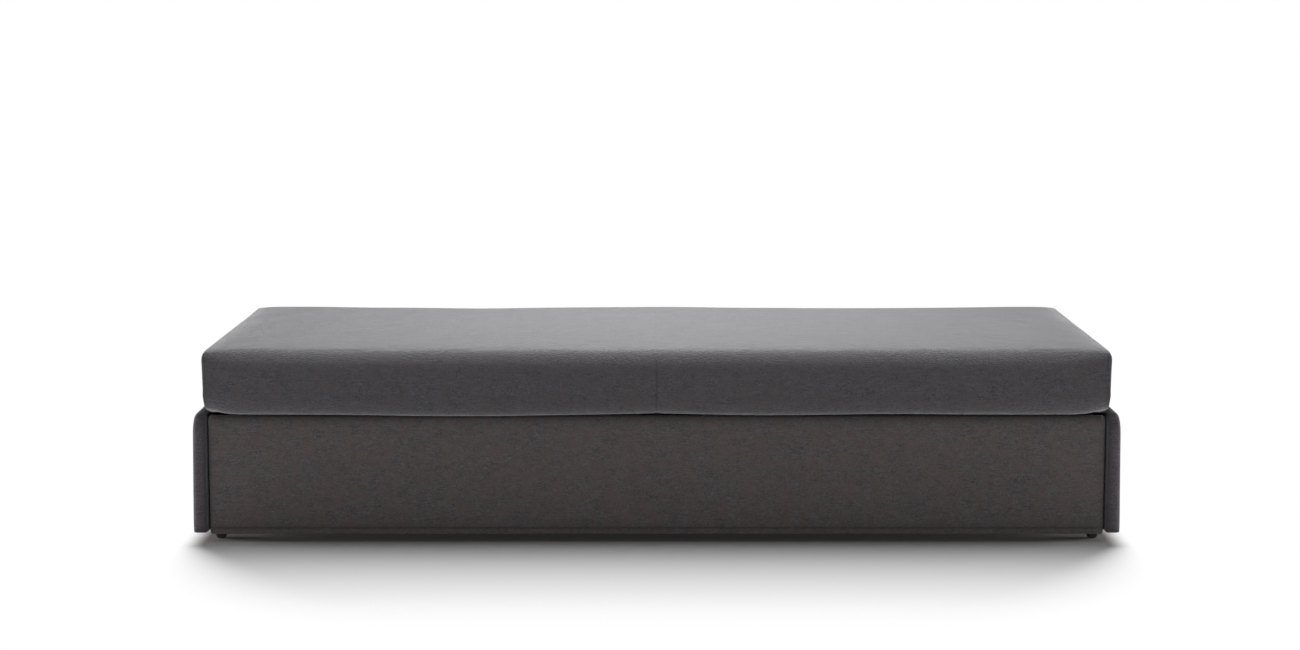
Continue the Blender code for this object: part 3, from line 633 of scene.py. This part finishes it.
# how dark the end seams are, and how deep the shade painted on the end panels is
END_MARK = 0.85
END_SHADE = 0.016  # painted shade darkens an end panel this far in from its seam
SEAM_SHADE_HALF = 0.003
TOP_END_PAINTED_SHADE = 0.65  # the top rolls over towards its end seams, and shade is painted there
TOP_END_HALF = 0.009
TOP_END_SPAN = (0.2, 0.6)
CROWN_SHARE = 0.6  # the rest of the crown comes from the stuffing
REAR_WAVE = 0.0015
REAR_WAVE_LENGTH = 0.90
REAR_SPAN = (0.20, 0.05)  # the rear wave grows between these distances from the back
SURFACE_WAVE = 0.0016
SURFACE_WAVE_LENGTH = 0.21
STILL_RUN = 0.03  # the surface is still this close to the end seams
WAVE_RUN = 0.05  # and its waves grow over this height
UNEVEN_SPAN = (0.93, 0.995)  # the pile lies unevenly where normals look up this far
OPENING_SPAN = (0.10, 0.45)  # it opens where they turn from the front
CLOSING_SPAN = (0.96, 0.999)  # and closes again where they reach the top


def lower_edge_lift(x):
    """How far the lower front edge is drawn up, along the mattress."""
    lift = sum(height * bell(x, place, width) for place, height, width in LIFT_BELLS)
    return EDGE_LIFT + lift + CORNER_LIFT * bell(abs(x), seam_x, CORNER_RUN)


def seam_draw(x, level, upward):
    """How strongly the middle seam draws the cloth in at a point."""
    if level <= SEAM_START:
        return 0.0
    upright = 1 - smooth_step(upward, *UPRIGHT_SPAN)
    return bell(x, 0.0, SEAM_HALF) * (TOP_SEAM_SHARE + (1 - TOP_SEAM_SHARE) * upright)


def seam_and_painted_shade(place, upward, at_end, draw):
    """How dark the seams near a point make it, together with the shade painted on it."""
    if at_end:
        # an end panel gets painted shade in a band along its seam
        inside = end_distance(place.y, place.z, body_low, body_high, RADII)
        return max(MIDDLE_MARK * draw, END_MARK * bell(inside, 0.0, END_SHADE))
    from_seam = abs(place.x) - seam_x
    sewn = END_MARK * bell(from_seam, 0.0, SEAM_SHADE_HALF)
    # where the top rolls towards an end seam, shade is painted on it
    painted_roll_shade = TOP_END_PAINTED_SHADE * smooth_step(upward, *TOP_END_SPAN) * bell(from_seam, 0.0, TOP_END_HALF)
    return max(MIDDLE_MARK * draw, sewn, painted_roll_shade)


def settle_mattress(bm):
    """Moves the points of the stuffed net to the shape of a used cover, and marks its seams, its painted
    shade and its pile.
    """
    bm.normal_update()
    seam_and_shade_mark = bm.verts.layers.float.new("seam")
    crushed_mark = bm.verts.layers.float.new("crushed")
    opened_mark = bm.verts.layers.float.new("opened")
    half_depth = body_high.y
    moved = []
    for vert in bm.verts:
        x, y, z = vert.co
        normal = vert.normal
        at_end = abs(x) > seam_x - HAIR
        level = (z - body_low.z) / (body_high.z - body_low.z)
        draw = seam_draw(x, level, normal.z)
        vert[seam_and_shade_mark] = seam_and_painted_shade(vert.co, normal.z, at_end, draw)
        vert[crushed_mark] = smooth_step(normal.z, *UNEVEN_SPAN)
        open_pile = smooth_step(normal.z, *OPENING_SPAN)
        vert[opened_mark] = open_pile * (1 - smooth_step(normal.z, *CLOSING_SPAN))
        shift = Vector()
        if at_end:
            shift.x += math.copysign(end_swell(y, z, body_low, body_high, RADII, END_SWELL), x)
        else:
            rise = max(level, 0.0) * max(1 - (y / half_depth) ** 2, 0.0) * (1 - (x / seam_x) ** 2)
            shift.z += CROWN_SHARE * CROWN * rise
            away = 1 - bell(abs(x), seam_x, STILL_RUN)
            wave = noise.noise(Vector((x, y, z)) / SURFACE_WAVE_LENGTH)
            grown = smooth_step(z, body_low.z, body_low.z + WAVE_RUN)
            shift += normal * wave * SURFACE_WAVE * away * grown
        shift -= normal * SEAM_DEPTH * draw
        shift.x -= math.copysign(end_tuck(x, z, seam_x, body_low.z, END_TUCK), x)
        behind = max(half_depth + y, 0.0)
        below = max(body_high.z - z, 0.0)
        if behind < TOP_RADIUS and below < TOP_RADIUS:
            tighter = (1 - SQUARE_SHARE) * bell(abs(x), seam_x, SQUARE_RUN)
            shift += Vector((0.0, -behind, below)) * tighter
        roll = FRONT_ROLL * (1 - bell(abs(x), seam_x, ROLL_DEPTH))
        shift.z -= roll * max(1 - behind / ROLL_DEPTH, 0.0) ** 2 * max(level, 0.0)
        if z < body_low.z + BASE_RADIUS and behind < BASE_RADIUS + HAIR:
            shift.y -= (1 - UNDER_SHARE) * behind
            behind *= UNDER_SHARE
        near_front = 1 - smooth_step(behind, *FRONT_SPAN)
        shift.y -= FRONT_BULGE * bell(z, body_low.z + BULGE_LEVEL, BULGE_HALF) * near_front
        low_down = 1 - smooth_step(z, body_low.z, body_low.z + END_SAG_HEIGHT)
        shift.z -= END_SAG * bell(abs(x), seam_x, END_SAG_RUN) * low_down * (1 - near_front)
        near_base = 1 - smooth_step(z, body_low.z + BASE_SPAN[0], body_low.z + BASE_SPAN[1])
        lift = lower_edge_lift(x) * near_front * near_base
        shift.z += lift if lift > 0 else SAG_SHARE * lift
        shift.y += min(lift, 0.0)
        near_rear = smooth_step(y, half_depth - REAR_SPAN[0], half_depth - REAR_SPAN[1])
        shift.z += REAR_WAVE * math.cos(math.tau * x / REAR_WAVE_LENGTH) * near_rear * max(level, 0.0)
        moved.append(vert.co + shift)
    move_points(bm, moved)


slice_net(mattress_net, ALONG, [side * line for line in SEAM_LINES for side in (-1, 1)])
slice_net(mattress_net, ALONG, [side * (seam_x - line) for line in END_LINES for side in (-1, 1)])
for face in mattress_net.faces:
    face.material_index = int(all(abs(v.co.x) > seam_x - HAIR for v in face.verts))
settle_mattress(mattress_net)
mattress = add_piece("mattress_in_cover", mattress_net, MATTRESS_FELT, "main_bed")
mattress.data.materials.append(END_FELT)
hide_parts("mattress_cover", "mattress_core")
add_smoothing(mattress)
print("mattress:", len(mattress.data.polygons), "faces before smoothing")

# %% [markdown]
# ## Upholstered panels
#
# The side, front and back panels are boards in a padded sleeve of felt. The sleeve is pulled on from above,
# so its upper corners are round and its lower edge is hemmed. Each one starts as a block the size of its
# solid, with corners and rims rounded. The padding stands out a little on the outer face, and the cloth is
# drawn in along the stitched hem. The side sleeves flare towards the hem, and their padding rises along the
# top to meet the mattress. Some hems hang a little below their board. Where light hardly reaches, shade is
# painted into the cloth as a deeper colour: along the top under the mattress and at the ends of the front and
# back sleeves, and towards the inner rim of the side sleeves. Solidify gives the sleeve its thickness, and
# the board stays inside.

# %% Panel sleeves
SLEEVE_WALL = 0.0042
INNER_RIM = 0.008
RIM_STEPS = 4
CORNER_STEPS = 6
PANEL_PITCH = 0.040
PANEL_PAD = 0.0016
PAD_RUN = 0.06  # the padding grows over this distance from the rim
FACE_SPAN = (0.2, 0.8)  # normals that look this far out or in belong to that face
HEM_DRAW = 0.0012
HEM_HALF = 0.0022
HEM_STEPS = (-2, -1, 0, 1, 2)
HEM_CLEAR = 0.02  # the even net starts this far above the hem
PANEL_WAVE = 0.0005
PANEL_WAVES = (4.0, 6.0)  # waves per metre, along the panel and up it
TOP_PUFF = 0.0014  # the padding lifts the upper edge this far
PUFF_RUN = 0.02
TOP_LINES = (0.003, 0.007, 0.013, 0.022)  # net lines below the upper edge
# painted shade fades out over these distances from the top and from the ends
TOP_SHADE_HALF = 0.014
END_SHADE_HALF = 0.004
HEM_FOLD = 0.0012  # the cloth turns in below this
FOLD_TUCK = 0.0010
FOLD_RUN = 0.004
HEM_MARK = 0.6


@dataclass
class Sleeve:
    """One upholstered panel. Lengths are in metres."""

    name: str
    node: str
    facing: float  # angle from the -Y direction to the way its outer face looks
    corner: float  # radius of its upper corners
    rim: float  # radius of its outer rim
    hem: float  # height of the stitched line
    material: bpy.types.Material
    body: str
    hang: float = 0.0  # how far the hem hangs below the board
    deep: float = 0.0  # how much painted shade deepens the colour along the top and the ends
    painted_inner_shade: float = 0.0  # how much painted shade deepens the colour towards the inner rim
    flare: float = 0.0  # how far the outer face stands out at its hem
    rise: float = 0.0  # how much further the padding stands up along the top

    def sizes(self):
        """Width, thickness and height."""
        low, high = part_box(self.node)
        size = high - low
        return max(size.x, size.y), min(size.x, size.y), size.z + self.hang

    def placing(self):
        """Turns and moves the sleeve from where it is made to where it belongs."""
        low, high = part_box(self.node)
        middle = Matrix.Translation(((low.x + high.x) / 2, (low.y + high.y) / 2, low.z - self.hang))
        return middle @ Matrix.Rotation(self.facing, 4, "Z")


def sleeve_net(sleeve):
    """A sleeve that stands on z = 0 across X, open below, with its outer face along -Y."""
    width, thickness, height = sleeve.sizes()
    half = Vector((width / 2, thickness / 2, 0.0))
    bm = add_block(-half, half + Vector((0.0, 0.0, height)))
    upright = [e for e in bm.edges if all(v.co.z > height - HAIR for v in e.verts)]
    corners = [e for e in upright if abs(e.verts[0].co.y - e.verts[1].co.y) > HAIR]
    round_edges(bm, corners, sleeve.corner, CORNER_STEPS)
    for face, radius in ((-half.y, sleeve.rim), (half.y, INNER_RIM)):
        rims = [e for e in bm.edges if all(abs(v.co.y - face) < HAIR for v in e.verts)]
        upper_rims = [e for e in rims if max(v.co.z for v in e.verts) > HAIR]
        round_edges(bm, upper_rims, radius, RIM_STEPS)
    below = [f for f in bm.faces if f.normal.z < -0.9]
    bmesh.ops.delete(bm, geom=below, context="FACES")
    flat_x = half.x - sleeve.corner
    slice_net(bm, ALONG, steps_between(-flat_x, flat_x, PANEL_PITCH))
    hem_lines = [sleeve.hem + step * HEM_HALF for step in HEM_STEPS]
    top_lines = [height - line for line in TOP_LINES]
    rest = steps_between(sleeve.hem + HEM_CLEAR, height - sleeve.corner, PANEL_PITCH)
    slice_net(bm, UP, [z for z in [HEM_FOLD] + hem_lines + top_lines + rest if z > HAIR])
    bm.normal_update()
    return bm


def pad_sleeve(bm, sleeve, seed):
    """Stands the padding out on the outer face, draws in the hem, and marks its dark hem line and its painted
    shade.
    """
    width, thickness, height = sleeve.sizes()
    seam_and_shade_mark = bm.verts.layers.float.new("seam")
    moved = []
    for vert in bm.verts:
        x, y, z = vert.co
        draw = bell(z, sleeve.hem, HEM_HALF)
        lean = Vector((0.0, sleeve.flare * (1 - z / height) * (y / thickness - 0.5), 0.0))
        outer = smooth_step(-vert.normal.y, *FACE_SPAN)
        inner = smooth_step(vert.normal.y, *FACE_SPAN)
        from_rim = min(width / 2 - abs(x), height - z, z - sleeve.hem)
        pad = PANEL_PAD * smooth_step(from_rim, 0.0, PAD_RUN)
        wave = PANEL_WAVE * noise.noise(Vector((x * PANEL_WAVES[0], seed, z * PANEL_WAVES[1])))
        fold = FOLD_TUCK * (1 - smooth_step(z, 0.0, FOLD_RUN))
        stand = TOP_PUFF + sleeve.rise
        puff = Vector((0.0, 0.0, stand * smooth_step(z, height - PUFF_RUN, height)))
        out = outer * (pad + wave) - HEM_DRAW * draw * (1 - inner) - fold
        moved.append(vert.co + vert.normal * out + puff + lean)
        # shade is painted along the top and the ends, and towards the inner rim
        inward = smooth_step(y, 0.0, thickness / 2)
        painted_shade = max(bell(height - z, 0.0, TOP_SHADE_HALF), bell(width / 2 - abs(x), 0.0, END_SHADE_HALF))
        vert[seam_and_shade_mark] = max(HEM_MARK * draw, sleeve.deep * painted_shade, sleeve.painted_inner_shade * inward)
    move_points(bm, moved)


def add_sleeve(sleeve, seed):
    bm = sleeve_net(sleeve)
    pad_sleeve(bm, sleeve, seed)
    bmesh.ops.transform(bm, matrix=sleeve.placing(), verts=bm.verts)
    piece = add_piece(sleeve.name, bm, sleeve.material, sleeve.body)
    wall = piece.modifiers.new("wall", "SOLIDIFY")
    wall.thickness = SLEEVE_WALL
    wall.offset = -1.0
    wall.use_even_offset = True
    add_smoothing(piece)
    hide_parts(sleeve.node)
    print(sleeve.name, len(piece.data.polygons), "faces before its wall")


QUARTER = math.pi / 2
SIDE_SHAPE = {"corner": 0.036, "rim": 0.011, "hem": 0.006, "material": SIDE_FELT, "body": "main_bed"}
SIDE_EXTRAS = {"hang": 0.002, "painted_inner_shade": 0.5, "flare": 0.0035, "rise": 0.0045}
FRONT_SHAPE = {"corner": 0.012, "rim": 0.008, "hem": 0.014, "material": PANEL_FELT, "deep": 0.58}
SLEEVES = (
    Sleeve("left_side_sleeve", "left_side_cover", -QUARTER, **SIDE_SHAPE, **SIDE_EXTRAS),
    Sleeve("right_side_sleeve", "right_side_cover", QUARTER, **SIDE_SHAPE, **SIDE_EXTRAS),
    Sleeve("back_sleeve", "back_cover", math.pi, body="main_bed", **FRONT_SHAPE),
    Sleeve("front_sleeve", "front_cover", 0.0, body="trundle", hang=0.0025, **FRONT_SHAPE),
)
for seed, sleeve in enumerate(SLEEVES):
    add_sleeve(sleeve, seed)

# %% [markdown]
# ## Hem stitches
#
# A double-turned hem is held by a line of thread. Each stitch is a tiny bead of thread, longer than it is
# thick, half sunk in the cloth. One bead is made for each hem, and an Array modifier repeats it along the
# outer face.

# %% Hem stitches
STITCH_PITCH = 0.0062
STITCH_LENGTH = 0.0044
STITCH_THICKNESS = 0.0010
BEAD_SIDES = 6
BEAD_RINGS = 4
TWIST_SCALE = 1500.0  # per metre
TWIST_SHADES = (0.75, 1.15)
THREAD_BUMP = 0.0003


def thread_material(name, colour):
    """Twisted thread in one colour."""
    material, tree, shader = new_material(name)
    twist = add_noise(tree, object_place(tree), TWIST_SCALE, 1.0)
    shade = add_range(tree, twist, 0.0, 1.0, *TWIST_SHADES)
    scaled = add_node(tree, "ShaderNodeVectorMath", {0: colour, "Scale": shade}, operation="SCALE")
    normal = add_bump(tree, twist, THREAD_BUMP)
    finish = {"Base Color": scaled.outputs[0], "Roughness": 0.6, "Sheen Weight": 0.3, "Normal": normal}
    fill(tree, shader, finish)
    return material


GREY_THREAD = thread_material("grey_thread", (0.065, 0.062, 0.063))


def add_hem_stitches(sleeve):
    """One row of stitches along the outer face of a sleeve, at the height of its hem."""
    width, thickness, _ = sleeve.sizes()
    row = width - 2 * sleeve.rim
    bm = bmesh.new()
    bmesh.ops.create_uvsphere(bm, u_segments=BEAD_SIDES, v_segments=BEAD_RINGS, radius=0.5)
    bmesh.ops.scale(bm, vec=(STITCH_LENGTH, STITCH_THICKNESS, STITCH_THICKNESS), verts=bm.verts)
    outside = HEM_DRAW - thickness / 2 - sleeve.flare
    bmesh.ops.translate(bm, vec=(-row / 2, outside, sleeve.hem), verts=bm.verts)
    bmesh.ops.transform(bm, matrix=sleeve.placing(), verts=bm.verts)
    name = sleeve.name.replace("sleeve", "hem_stitches")
    piece = add_piece(name, bm, GREY_THREAD, sleeve.body)
    repeat = piece.modifiers.new("row", "ARRAY")
    repeat.count = round(row / STITCH_PITCH) + 1
    repeat.use_relative_offset = False
    repeat.use_constant_offset = True
    repeat.constant_offset_displace = sleeve.placing().to_3x3() @ Vector((STITCH_PITCH, 0.0, 0.0))
    print(piece.name, repeat.count, "stitches")


for sleeve in SLEEVES:
    add_hem_stitches(sleeve)

# %% [markdown]
# ## The second mattress
#
# The bed inside has a lower mattress in a pale cotton cover. Its top is quilted: rows of stitching hold the
# padding down, so the cover stands up between them like long pillows. The rows are pinned, the cover is
# stuffed like the first one, and then the rows are drawn in a little further.

# %% Second mattress
SECOND_RADIUS = 0.022
SECOND_RADII = (SECOND_RADIUS, SECOND_RADIUS)
SECOND_SWELL = 0.005
SECOND_CROWN = 0.005
SECOND_PITCH = 0.030
SECOND_RINGS = (0.004, 0.007)
SECOND_TUCK = 0.7 * SECOND_RADIUS
QUILT_ROWS = 6
QUILT_DEPTH = 0.0030
QUILT_HALF = 0.0040
QUILT_STEPS = (-1.6, -0.7, 0.7, 1.6)  # net lines beside a row, in half widths
QUILT_LIMIT = 0.004
QUILT_MARK = 0.7
PILLOW_RISE = 0.0020  # the padding stands up this far between the rows
PILLOW_RUN = 0.05
BORDER_LINES = (0.30, 0.70)  # stitch lines round the border, as shares of its height
BORDER_HALF = 0.03
BORDER_STEPS = (-0.04, 0.0, 0.04)
BORDER_DEPTH = 0.0018
BORDER_MARK = 0.5
TICKING_YARNS = ((0.66, 0.63, 0.57, 1), (0.78, 0.755, 0.70, 1), (0.72, 0.67, 0.58, 1))
TICKING_SEWN = (0.50, 0.47, 0.41, 1)
TICKING_SHINE = {"Sheen Weight": 0.2}
FLAT_LIMIT = 0.5  # a normal that looks up further than this belongs to the top

second_low, second_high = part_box("trundle_mattress_cover")
second_seam = second_high.x - SECOND_SWELL
pad_low = Vector((-second_seam, second_low.y, second_low.z))
pad_high = Vector((second_seam, second_high.y, second_high.z - SECOND_CROWN))
second_net = rounded_mattress(pad_low, pad_high, SECOND_RADII, SECOND_PITCH, SECOND_RINGS)
span = pad_high.y - pad_low.y - 2 * SECOND_RADIUS
quilt_places = [pad_low.y + SECOND_RADIUS + span * (i + 1) / (QUILT_ROWS + 1) for i in range(QUILT_ROWS)]
slice_net(second_net, INTO, quilt_places)
quilt_held = [
    abs(v.co.x) > second_seam - HAIR
    or v.co.z < pad_low.z + SECOND_RADIUS / 3
    or (v.co.z > pad_high.z - HAIR and min(abs(v.co.y - place) for place in quilt_places) < HAIR)
    for v in second_net.verts
]
stuff(second_net, quilt_held, QUILT_LIMIT)


def settle_second(bm):
    """Draws in the quilt rows and the border lines, and swells the ends."""
    bm.normal_update()
    seam_and_shade_mark = bm.verts.layers.float.new("seam")
    moved = []
    for vert in bm.verts:
        x, y, z = vert.co
        shift = Vector()
        level = (z - pad_low.z) / (pad_high.z - pad_low.z)
        row = line = pillow = 0.0
        if vert.normal.z > FLAT_LIMIT:
            row = max(bell(y, place, QUILT_HALF) for place in quilt_places)
            pillow = min(abs(y - place) for place in quilt_places)
        if abs(vert.normal.z) < FLAT_LIMIT:
            line = max(bell(level, share, BORDER_HALF) for share in BORDER_LINES)
        shift -= vert.normal * (QUILT_DEPTH * row + BORDER_DEPTH * line)
        shift.z += PILLOW_RISE * smooth_step(pillow, 0.0, PILLOW_RUN)
        if abs(x) > second_seam - HAIR:
            shift.x += math.copysign(end_swell(y, z, pad_low, pad_high, SECOND_RADII, SECOND_SWELL), x)
        shift.x -= math.copysign(end_tuck(x, z, second_seam, pad_low.z, SECOND_TUCK), x)
        vert[seam_and_shade_mark] = max(QUILT_MARK * row, BORDER_MARK * line)
        moved.append(vert.co + shift)
    move_points(bm, moved)


row_lines = [place + step * QUILT_HALF for place in quilt_places for step in QUILT_STEPS]
slice_net(second_net, INTO, row_lines)
pad_height = pad_high.z - pad_low.z
border_lines = [pad_low.z + (share + step) * pad_height for share in BORDER_LINES for step in BORDER_STEPS]
slice_net(second_net, UP, border_lines)
settle_second(second_net)
TICKING = cloth_material(
    "cotton_ticking", TICKING_YARNS, warmth=0.4, sewn=TICKING_SEWN, bump=0.0006, shine=TICKING_SHINE
)
second_mattress = add_piece("second_mattress", second_net, TICKING, "trundle")
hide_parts("trundle_mattress_cover", "trundle_mattress_core")
add_smoothing(second_mattress)
print("second mattress:", len(second_mattress.data.polygons), "faces before smoothing")

# %% [markdown]
# ## Wood
#
# Slats and runners are steamed beech, and the boards inside the panels are plywood. Both have long streaks
# along the piece, with short dark flecks. Noise that is squeezed across the grain gives the streaks. A node
# group holds the grain, and each material turns it the right way. The upper slats are darker near their sawn
# ends: a little of it is end grain, and most of it is painted shade, where their ends sit in the dark under
# the mattress.

# %% Wood
STREAK_SCALES = (1.4, 55.0, 55.0)  # along the grain and twice across it
FLECK_SCALES = (90.0, 900.0, 900.0)
BOARD_SCALES = (0.6, 9.0, 9.0)
STREAK_SHARE = 0.7
BOARD_SHARE = 0.5
TONE_SPAN = (0.40, 0.85)
FLECK_SPAN = (0.62, 0.75)
FLECK_DEPTH = 0.45
WOOD_BUMP = 0.0003
# dark colour near the sawn ends of a slat: partly end grain, mostly painted shade
END_GRAIN_AND_SHADE = (0.050, 0.036, 0.026, 1)
END_GRAIN_AND_SHADE_RUN = 0.030  # the slat is darker this far in from its sawn ends, partly end grain and mostly painted shade


def wood_group():
    """Grain along X, as colour, height and roughness."""
    inputs = {"Place": VECTOR, "Pale": COLOUR, "Deep": COLOUR}
    group, given, result = new_group("wood_grain", inputs, SURFACE)
    place, pale, deep = (given.outputs[name] for name in ("Place", "Pale", "Deep"))
    streaks = add_noise(group, stretched(group, place, STREAK_SCALES), 1.0, 4.0, 0.6)
    flecks = add_noise(group, stretched(group, place, FLECK_SCALES), 1.0, 1.0)
    board = add_noise(group, stretched(group, place, BOARD_SCALES), 1.0, 1.0)
    streaked = add_math(group, "MULTIPLY", streaks, STREAK_SHARE)
    tone = add_math(group, "ADD", streaked, add_math(group, "MULTIPLY", board, BOARD_SHARE))
    plain = add_mix(group, add_range(group, tone, *TONE_SPAN), pale, deep)
    fleck = add_range(group, flecks, *FLECK_SPAN, high=FLECK_DEPTH)
    colour = add_mix(group, fleck, plain, deep)
    height = add_math(group, "SUBTRACT", streaks, fleck)
    rough = add_range(group, streaks, low=0.42, high=0.62)
    fill(group, result, {"Color": colour, "Height": height, "Roughness": rough})
    return group


WOOD_GRAIN = wood_group()


def end_grain_and_shade(tree, low, high):
    """1 at the sawn ends of a slat, fading to 0 a little way in, where end grain and painted shade darken it.
    """
    depth = add_node(tree, "ShaderNodeSeparateXYZ", {0: object_place(tree)}).outputs["Y"]
    near = add_range(tree, depth, low + END_GRAIN_AND_SHADE_RUN, low)
    far = add_range(tree, depth, high - END_GRAIN_AND_SHADE_RUN, high)
    return add_math(tree, "MAXIMUM", near, far)


def wood(name, pale, deep, grain_turn, sawn=None):
    """Wood in two tones. With sawn, the depths of the two ends of a slat, its ends are darker, partly end
    grain and mostly painted shade.
    """
    material, tree, shader = new_material(name)
    turn = {"Vector": object_place(tree), "Rotation": (0.0, 0.0, grain_turn)}
    turned = add_node(tree, "ShaderNodeMapping", turn).outputs[0]
    grain = place_group(tree, WOOD_GRAIN, Place=turned, Pale=pale, Deep=deep)
    colour = grain["Color"]
    if sawn:
        colour = add_mix(tree, end_grain_and_shade(tree, *sawn), colour, END_GRAIN_AND_SHADE)
    normal = add_bump(tree, grain["Height"], WOOD_BUMP)
    fill(tree, shader, {"Base Color": colour, "Roughness": grain["Roughness"], "Normal": normal})
    return material


BEECH_TONES = ((0.60, 0.41, 0.25, 1), (0.42, 0.25, 0.13, 1))
PLY_TONES = ((0.58, 0.44, 0.29, 1), (0.44, 0.31, 0.18, 1))
slat_low, slat_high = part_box("upper_slat_01")
BEECH = wood("beech_along_depth", *BEECH_TONES, QUARTER)
SLAT_BEECH = wood("slat_beech", *BEECH_TONES, QUARTER, (slat_low.y, slat_high.y))
PLY_LONG = wood("plywood_along_length", *PLY_TONES, 0.0)
PLY_DEEP = wood("plywood_along_depth", *PLY_TONES, QUARTER)


def dress(material, starts=(), ends=()):
    """Gives a finish to the solids whose names start or end with these words."""
    for name in nodes:
        if name.startswith(starts) or name.endswith(ends):
            solid = nodes[name]
            solid.data.materials.clear()
            solid.data.materials.append(material)


dress(SLAT_BEECH, "upper_slat")
dress(BEECH, ("guide_runner", "trundle_slat_mat"))
dress(PLY_LONG, ("front_board", "back_board"))
dress(PLY_DEEP, ("left_side_board", "right_side_board"))
print("wood:", BEECH.name, SLAT_BEECH.name, PLY_LONG.name, PLY_DEEP.name)

# %% [markdown]
# ## Metal and plastic
#
# The frame tubes are powder coated in dark grey, with the fine orange-peel of baked powder. Brackets,
# straps and axles are black zinc: dark metal with clouds where the plating took differently. Feet are
# moulded black plastic, and wheels are dark nylon with a hint of olive and paler scuffs.

# %% Metal and plastic
CLOUD_SPAN = (0.3, 0.7)


def cloudy_group():
    """Two colours that change in clouds, with a fine grain."""
    inputs = {"First": COLOUR, "Second": COLOUR, "Cloud Scale": VALUE, "Grain Scale": VALUE}
    outputs = {"Color": COLOUR, "Height": VALUE, "Cloud": VALUE}
    group, given, result = new_group("cloudy_finish", inputs, outputs)
    place = object_place(group)
    cloud = add_noise(group, place, given.outputs["Cloud Scale"], 4.0, 0.6)
    grain = add_noise(group, place, given.outputs["Grain Scale"], 2.0)
    share = add_range(group, cloud, *CLOUD_SPAN)
    colour = add_mix(group, share, given.outputs["First"], given.outputs["Second"])
    fill(group, result, {"Color": colour, "Height": grain, "Cloud": cloud})
    return group


CLOUDY_FINISH = cloudy_group()


def hard_finish(name, tones, scales, roughness, bump, metallic=0.0):
    """A finish in two tones. The scales are those of its clouds and of its grain, per metre."""
    material, tree, shader = new_material(name)
    sockets = dict(zip(("First", "Second", "Cloud_Scale", "Grain_Scale"), tones + scales))
    finish = place_group(tree, CLOUDY_FINISH, **sockets)
    rough = add_range(tree, finish["Cloud"], 0.0, 1.0, *roughness)
    normal = add_bump(tree, finish["Height"], bump)
    looks = {"Base Color": finish["Color"], "Roughness": rough, "Metallic": metallic, "Normal": normal}
    fill(tree, shader, looks)
    return material


POWDER_TONES = ((0.030, 0.031, 0.033, 1), (0.040, 0.041, 0.043, 1))
ZINC_TONES = ((0.075, 0.077, 0.082, 1), (0.115, 0.116, 0.118, 1))
PLASTIC_TONES = ((0.018, 0.018, 0.018, 1), (0.026, 0.026, 0.026, 1))
NYLON_TONES = ((0.050, 0.050, 0.042, 1), (0.072, 0.071, 0.060, 1))
POWDER_COAT = hard_finish("powder_coat", POWDER_TONES, (30.0, 900.0), (0.40, 0.60), 0.0002)
ZINC = hard_finish("black_zinc", ZINC_TONES, (120.0, 700.0), (0.30, 0.55), 0.0001, metallic=1.0)
BLACK_PLASTIC = hard_finish("black_plastic", PLASTIC_TONES, (60.0, 1200.0), (0.45, 0.65), 0.0001)
NYLON = hard_finish("olive_nylon", NYLON_TONES, (90.0, 800.0), (0.50, 0.70), 0.0001)
dress(POWDER_COAT, ends=("_rail", "_tube", "_bar"))
dress(ZINC, ("rail_bracket", "castor_bracket", "castor_axle", "front_panel_strap"))
dress(BLACK_PLASTIC, "foot_")
dress(NYLON, "castor_wheel")
print("finishes:", POWDER_COAT.name, ZINC.name, BLACK_PLASTIC.name, NYLON.name)
